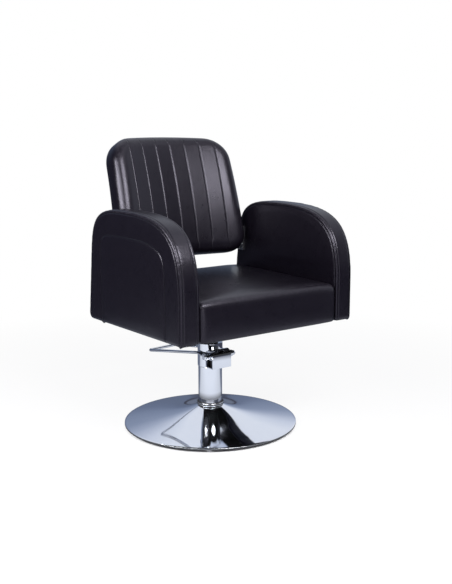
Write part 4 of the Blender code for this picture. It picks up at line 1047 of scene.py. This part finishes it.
def make_world():
    """White behind the chair, a dim horizon under a bright ceiling in the metal, and even light."""
    world = bpy.data.worlds.new("studio")
    bpy.context.scene.world = world
    world.use_nodes = True
    world.node_tree.nodes.clear()
    f = Nodes(world.node_tree, "Generated")
    ways = f.add("ShaderNodeLightPath").outputs
    height = f.add("ShaderNodeSeparateXYZ", Vector=f.place).outputs["Z"]
    ramp = f.add("ShaderNodeValToRGB", Fac=f.sums("ADD", height, f.along(ROOM_TILT)))
    while len(ramp.color_ramp.elements) < len(ROOM_COLOURS):
        ramp.color_ramp.elements.new(0.5)
    for element, (position, colour) in zip(ramp.color_ramp.elements, ROOM_COLOURS):
        element.position = position
        element.color = (*colour, 1)
    strength = 1.0
    for way, start, end, least in ROOM_DARK_SIDES:
        strength = f.sums("MULTIPLY", f.spread(f.along(way), start, end, 1.0, least), strength)
    even = f.add("ShaderNodeBackground", Color=(*EVEN_LIGHT, 1))
    mirrored = f.add("ShaderNodeBackground", Color=ramp.outputs["Color"], Strength=strength)
    seen = f.add("ShaderNodeBackground", Color=(1, 1, 1, 1))
    shiny = f.sums("MAXIMUM", ways["Is Glossy Ray"], ways["Is Transmission Ray"])
    output = f.add("ShaderNodeOutputWorld")
    f.set(output.inputs["Surface"], f.layers(even, (shiny, mirrored), (ways["Is Camera Ray"], seen)))


def make_floor():
    """Pale floor: white to the eye with a soft shadow; in the metal it glows with painted light, with painted
    shade behind, far off to the sides and by the rim.
    """
    bm = bmesh.new()
    bmesh.ops.create_grid(bm, x_segments=1, y_segments=1, size=FLOOR_SIZE)
    floor = from_bmesh("floor", bm)
    f = Finish("pale_floor", (0.86, 0.86, 0.87), 0.9)
    ways = f.add("ShaderNodeLightPath").outputs
    distance = f.add("ShaderNodeVectorMath", {"operation": "LENGTH"}, Vector=f.place).outputs["Value"]
    ahead = f.along(TO_FRONT_LEFT)

    under_rim = f.spread(distance, *FLOOR_UNDER_RIM, 0.0, 1.0)
    seen_share = f.sums("MULTIPLY", f.spread(distance, *FLOOR_SHADED, 0.88, 1.0), under_rim)
    seen = f.add("ShaderNodeEmission", Color=(1, 1, 1, 1), Strength=1.0)

    # Painted light and shade: in the metal the floor glows brighter ahead, darker behind and darker far off
    # to the sides
    facing = f.spread(f.sums("DIVIDE", ahead, distance), *FLOOR_FACING, 0.0, 1.0)
    beyond = f.mix(facing, *FLOOR_FAR_COLOURS)
    nearby = f.mix(f.spread(ahead, *FLOOR_BEHIND, 0.0, 1.0), *FLOOR_NEAR_COLOURS)
    colour = f.mix(f.spread(distance, *FLOOR_FAR, 0.0, 1.0), nearby, beyond)
    # Painted shadow: by the dish's rim the floor's glow in the metal falls almost to black
    rim_painted_shadow = f.spread(distance, *FLOOR_RIM_PAINTED_SHADOW, 0.06, 1.0)
    strength = f.sums("MULTIPLY", f.spread(ahead, -0.2, 0.5, 0.84, 1.10), rim_painted_shadow)
    mirrored = f.add("ShaderNodeEmission", Color=colour, Strength=strength)

    painted_glow_share = f.sums("MULTIPLY", ways["Is Glossy Ray"], 0.95)
    seen_share = f.sums("MULTIPLY", ways["Is Camera Ray"], seen_share)
    surface = f.layers(f.shader, (painted_glow_share, mirrored), (seen_share, seen))
    f.set(f.tree.nodes["Material Output"].inputs["Surface"], surface)
    floor.data.materials.append(f.material)


def make_studio():
    place_camera()
    make_world()
    make_floor()
    for lamp in LAMPS:
        soft_light(*lamp)
    bpy.context.scene.view_settings.view_transform = "Standard"


def main():
    make_studio()
    finishes = make_finishes()
    finish_nodes(finishes)
    cover, chrome, steel = (finishes[name] for name in ("black_leatherette", "chrome", "steel"))
    make_seat(cover)
    make_arm(-1, "left", cover)
    make_arm(1, "right", cover)
    make_back_cushion(cover)
    make_back_panel(cover)
    make_dish(chrome)
    make_column(chrome)
    make_ring(chrome, finishes["black_rubber"])
    make_pump_head(chrome, finishes["cast_iron"])
    make_lever(chrome)
    make_return_spring(steel)
    make_flange_screws(steel)


main()
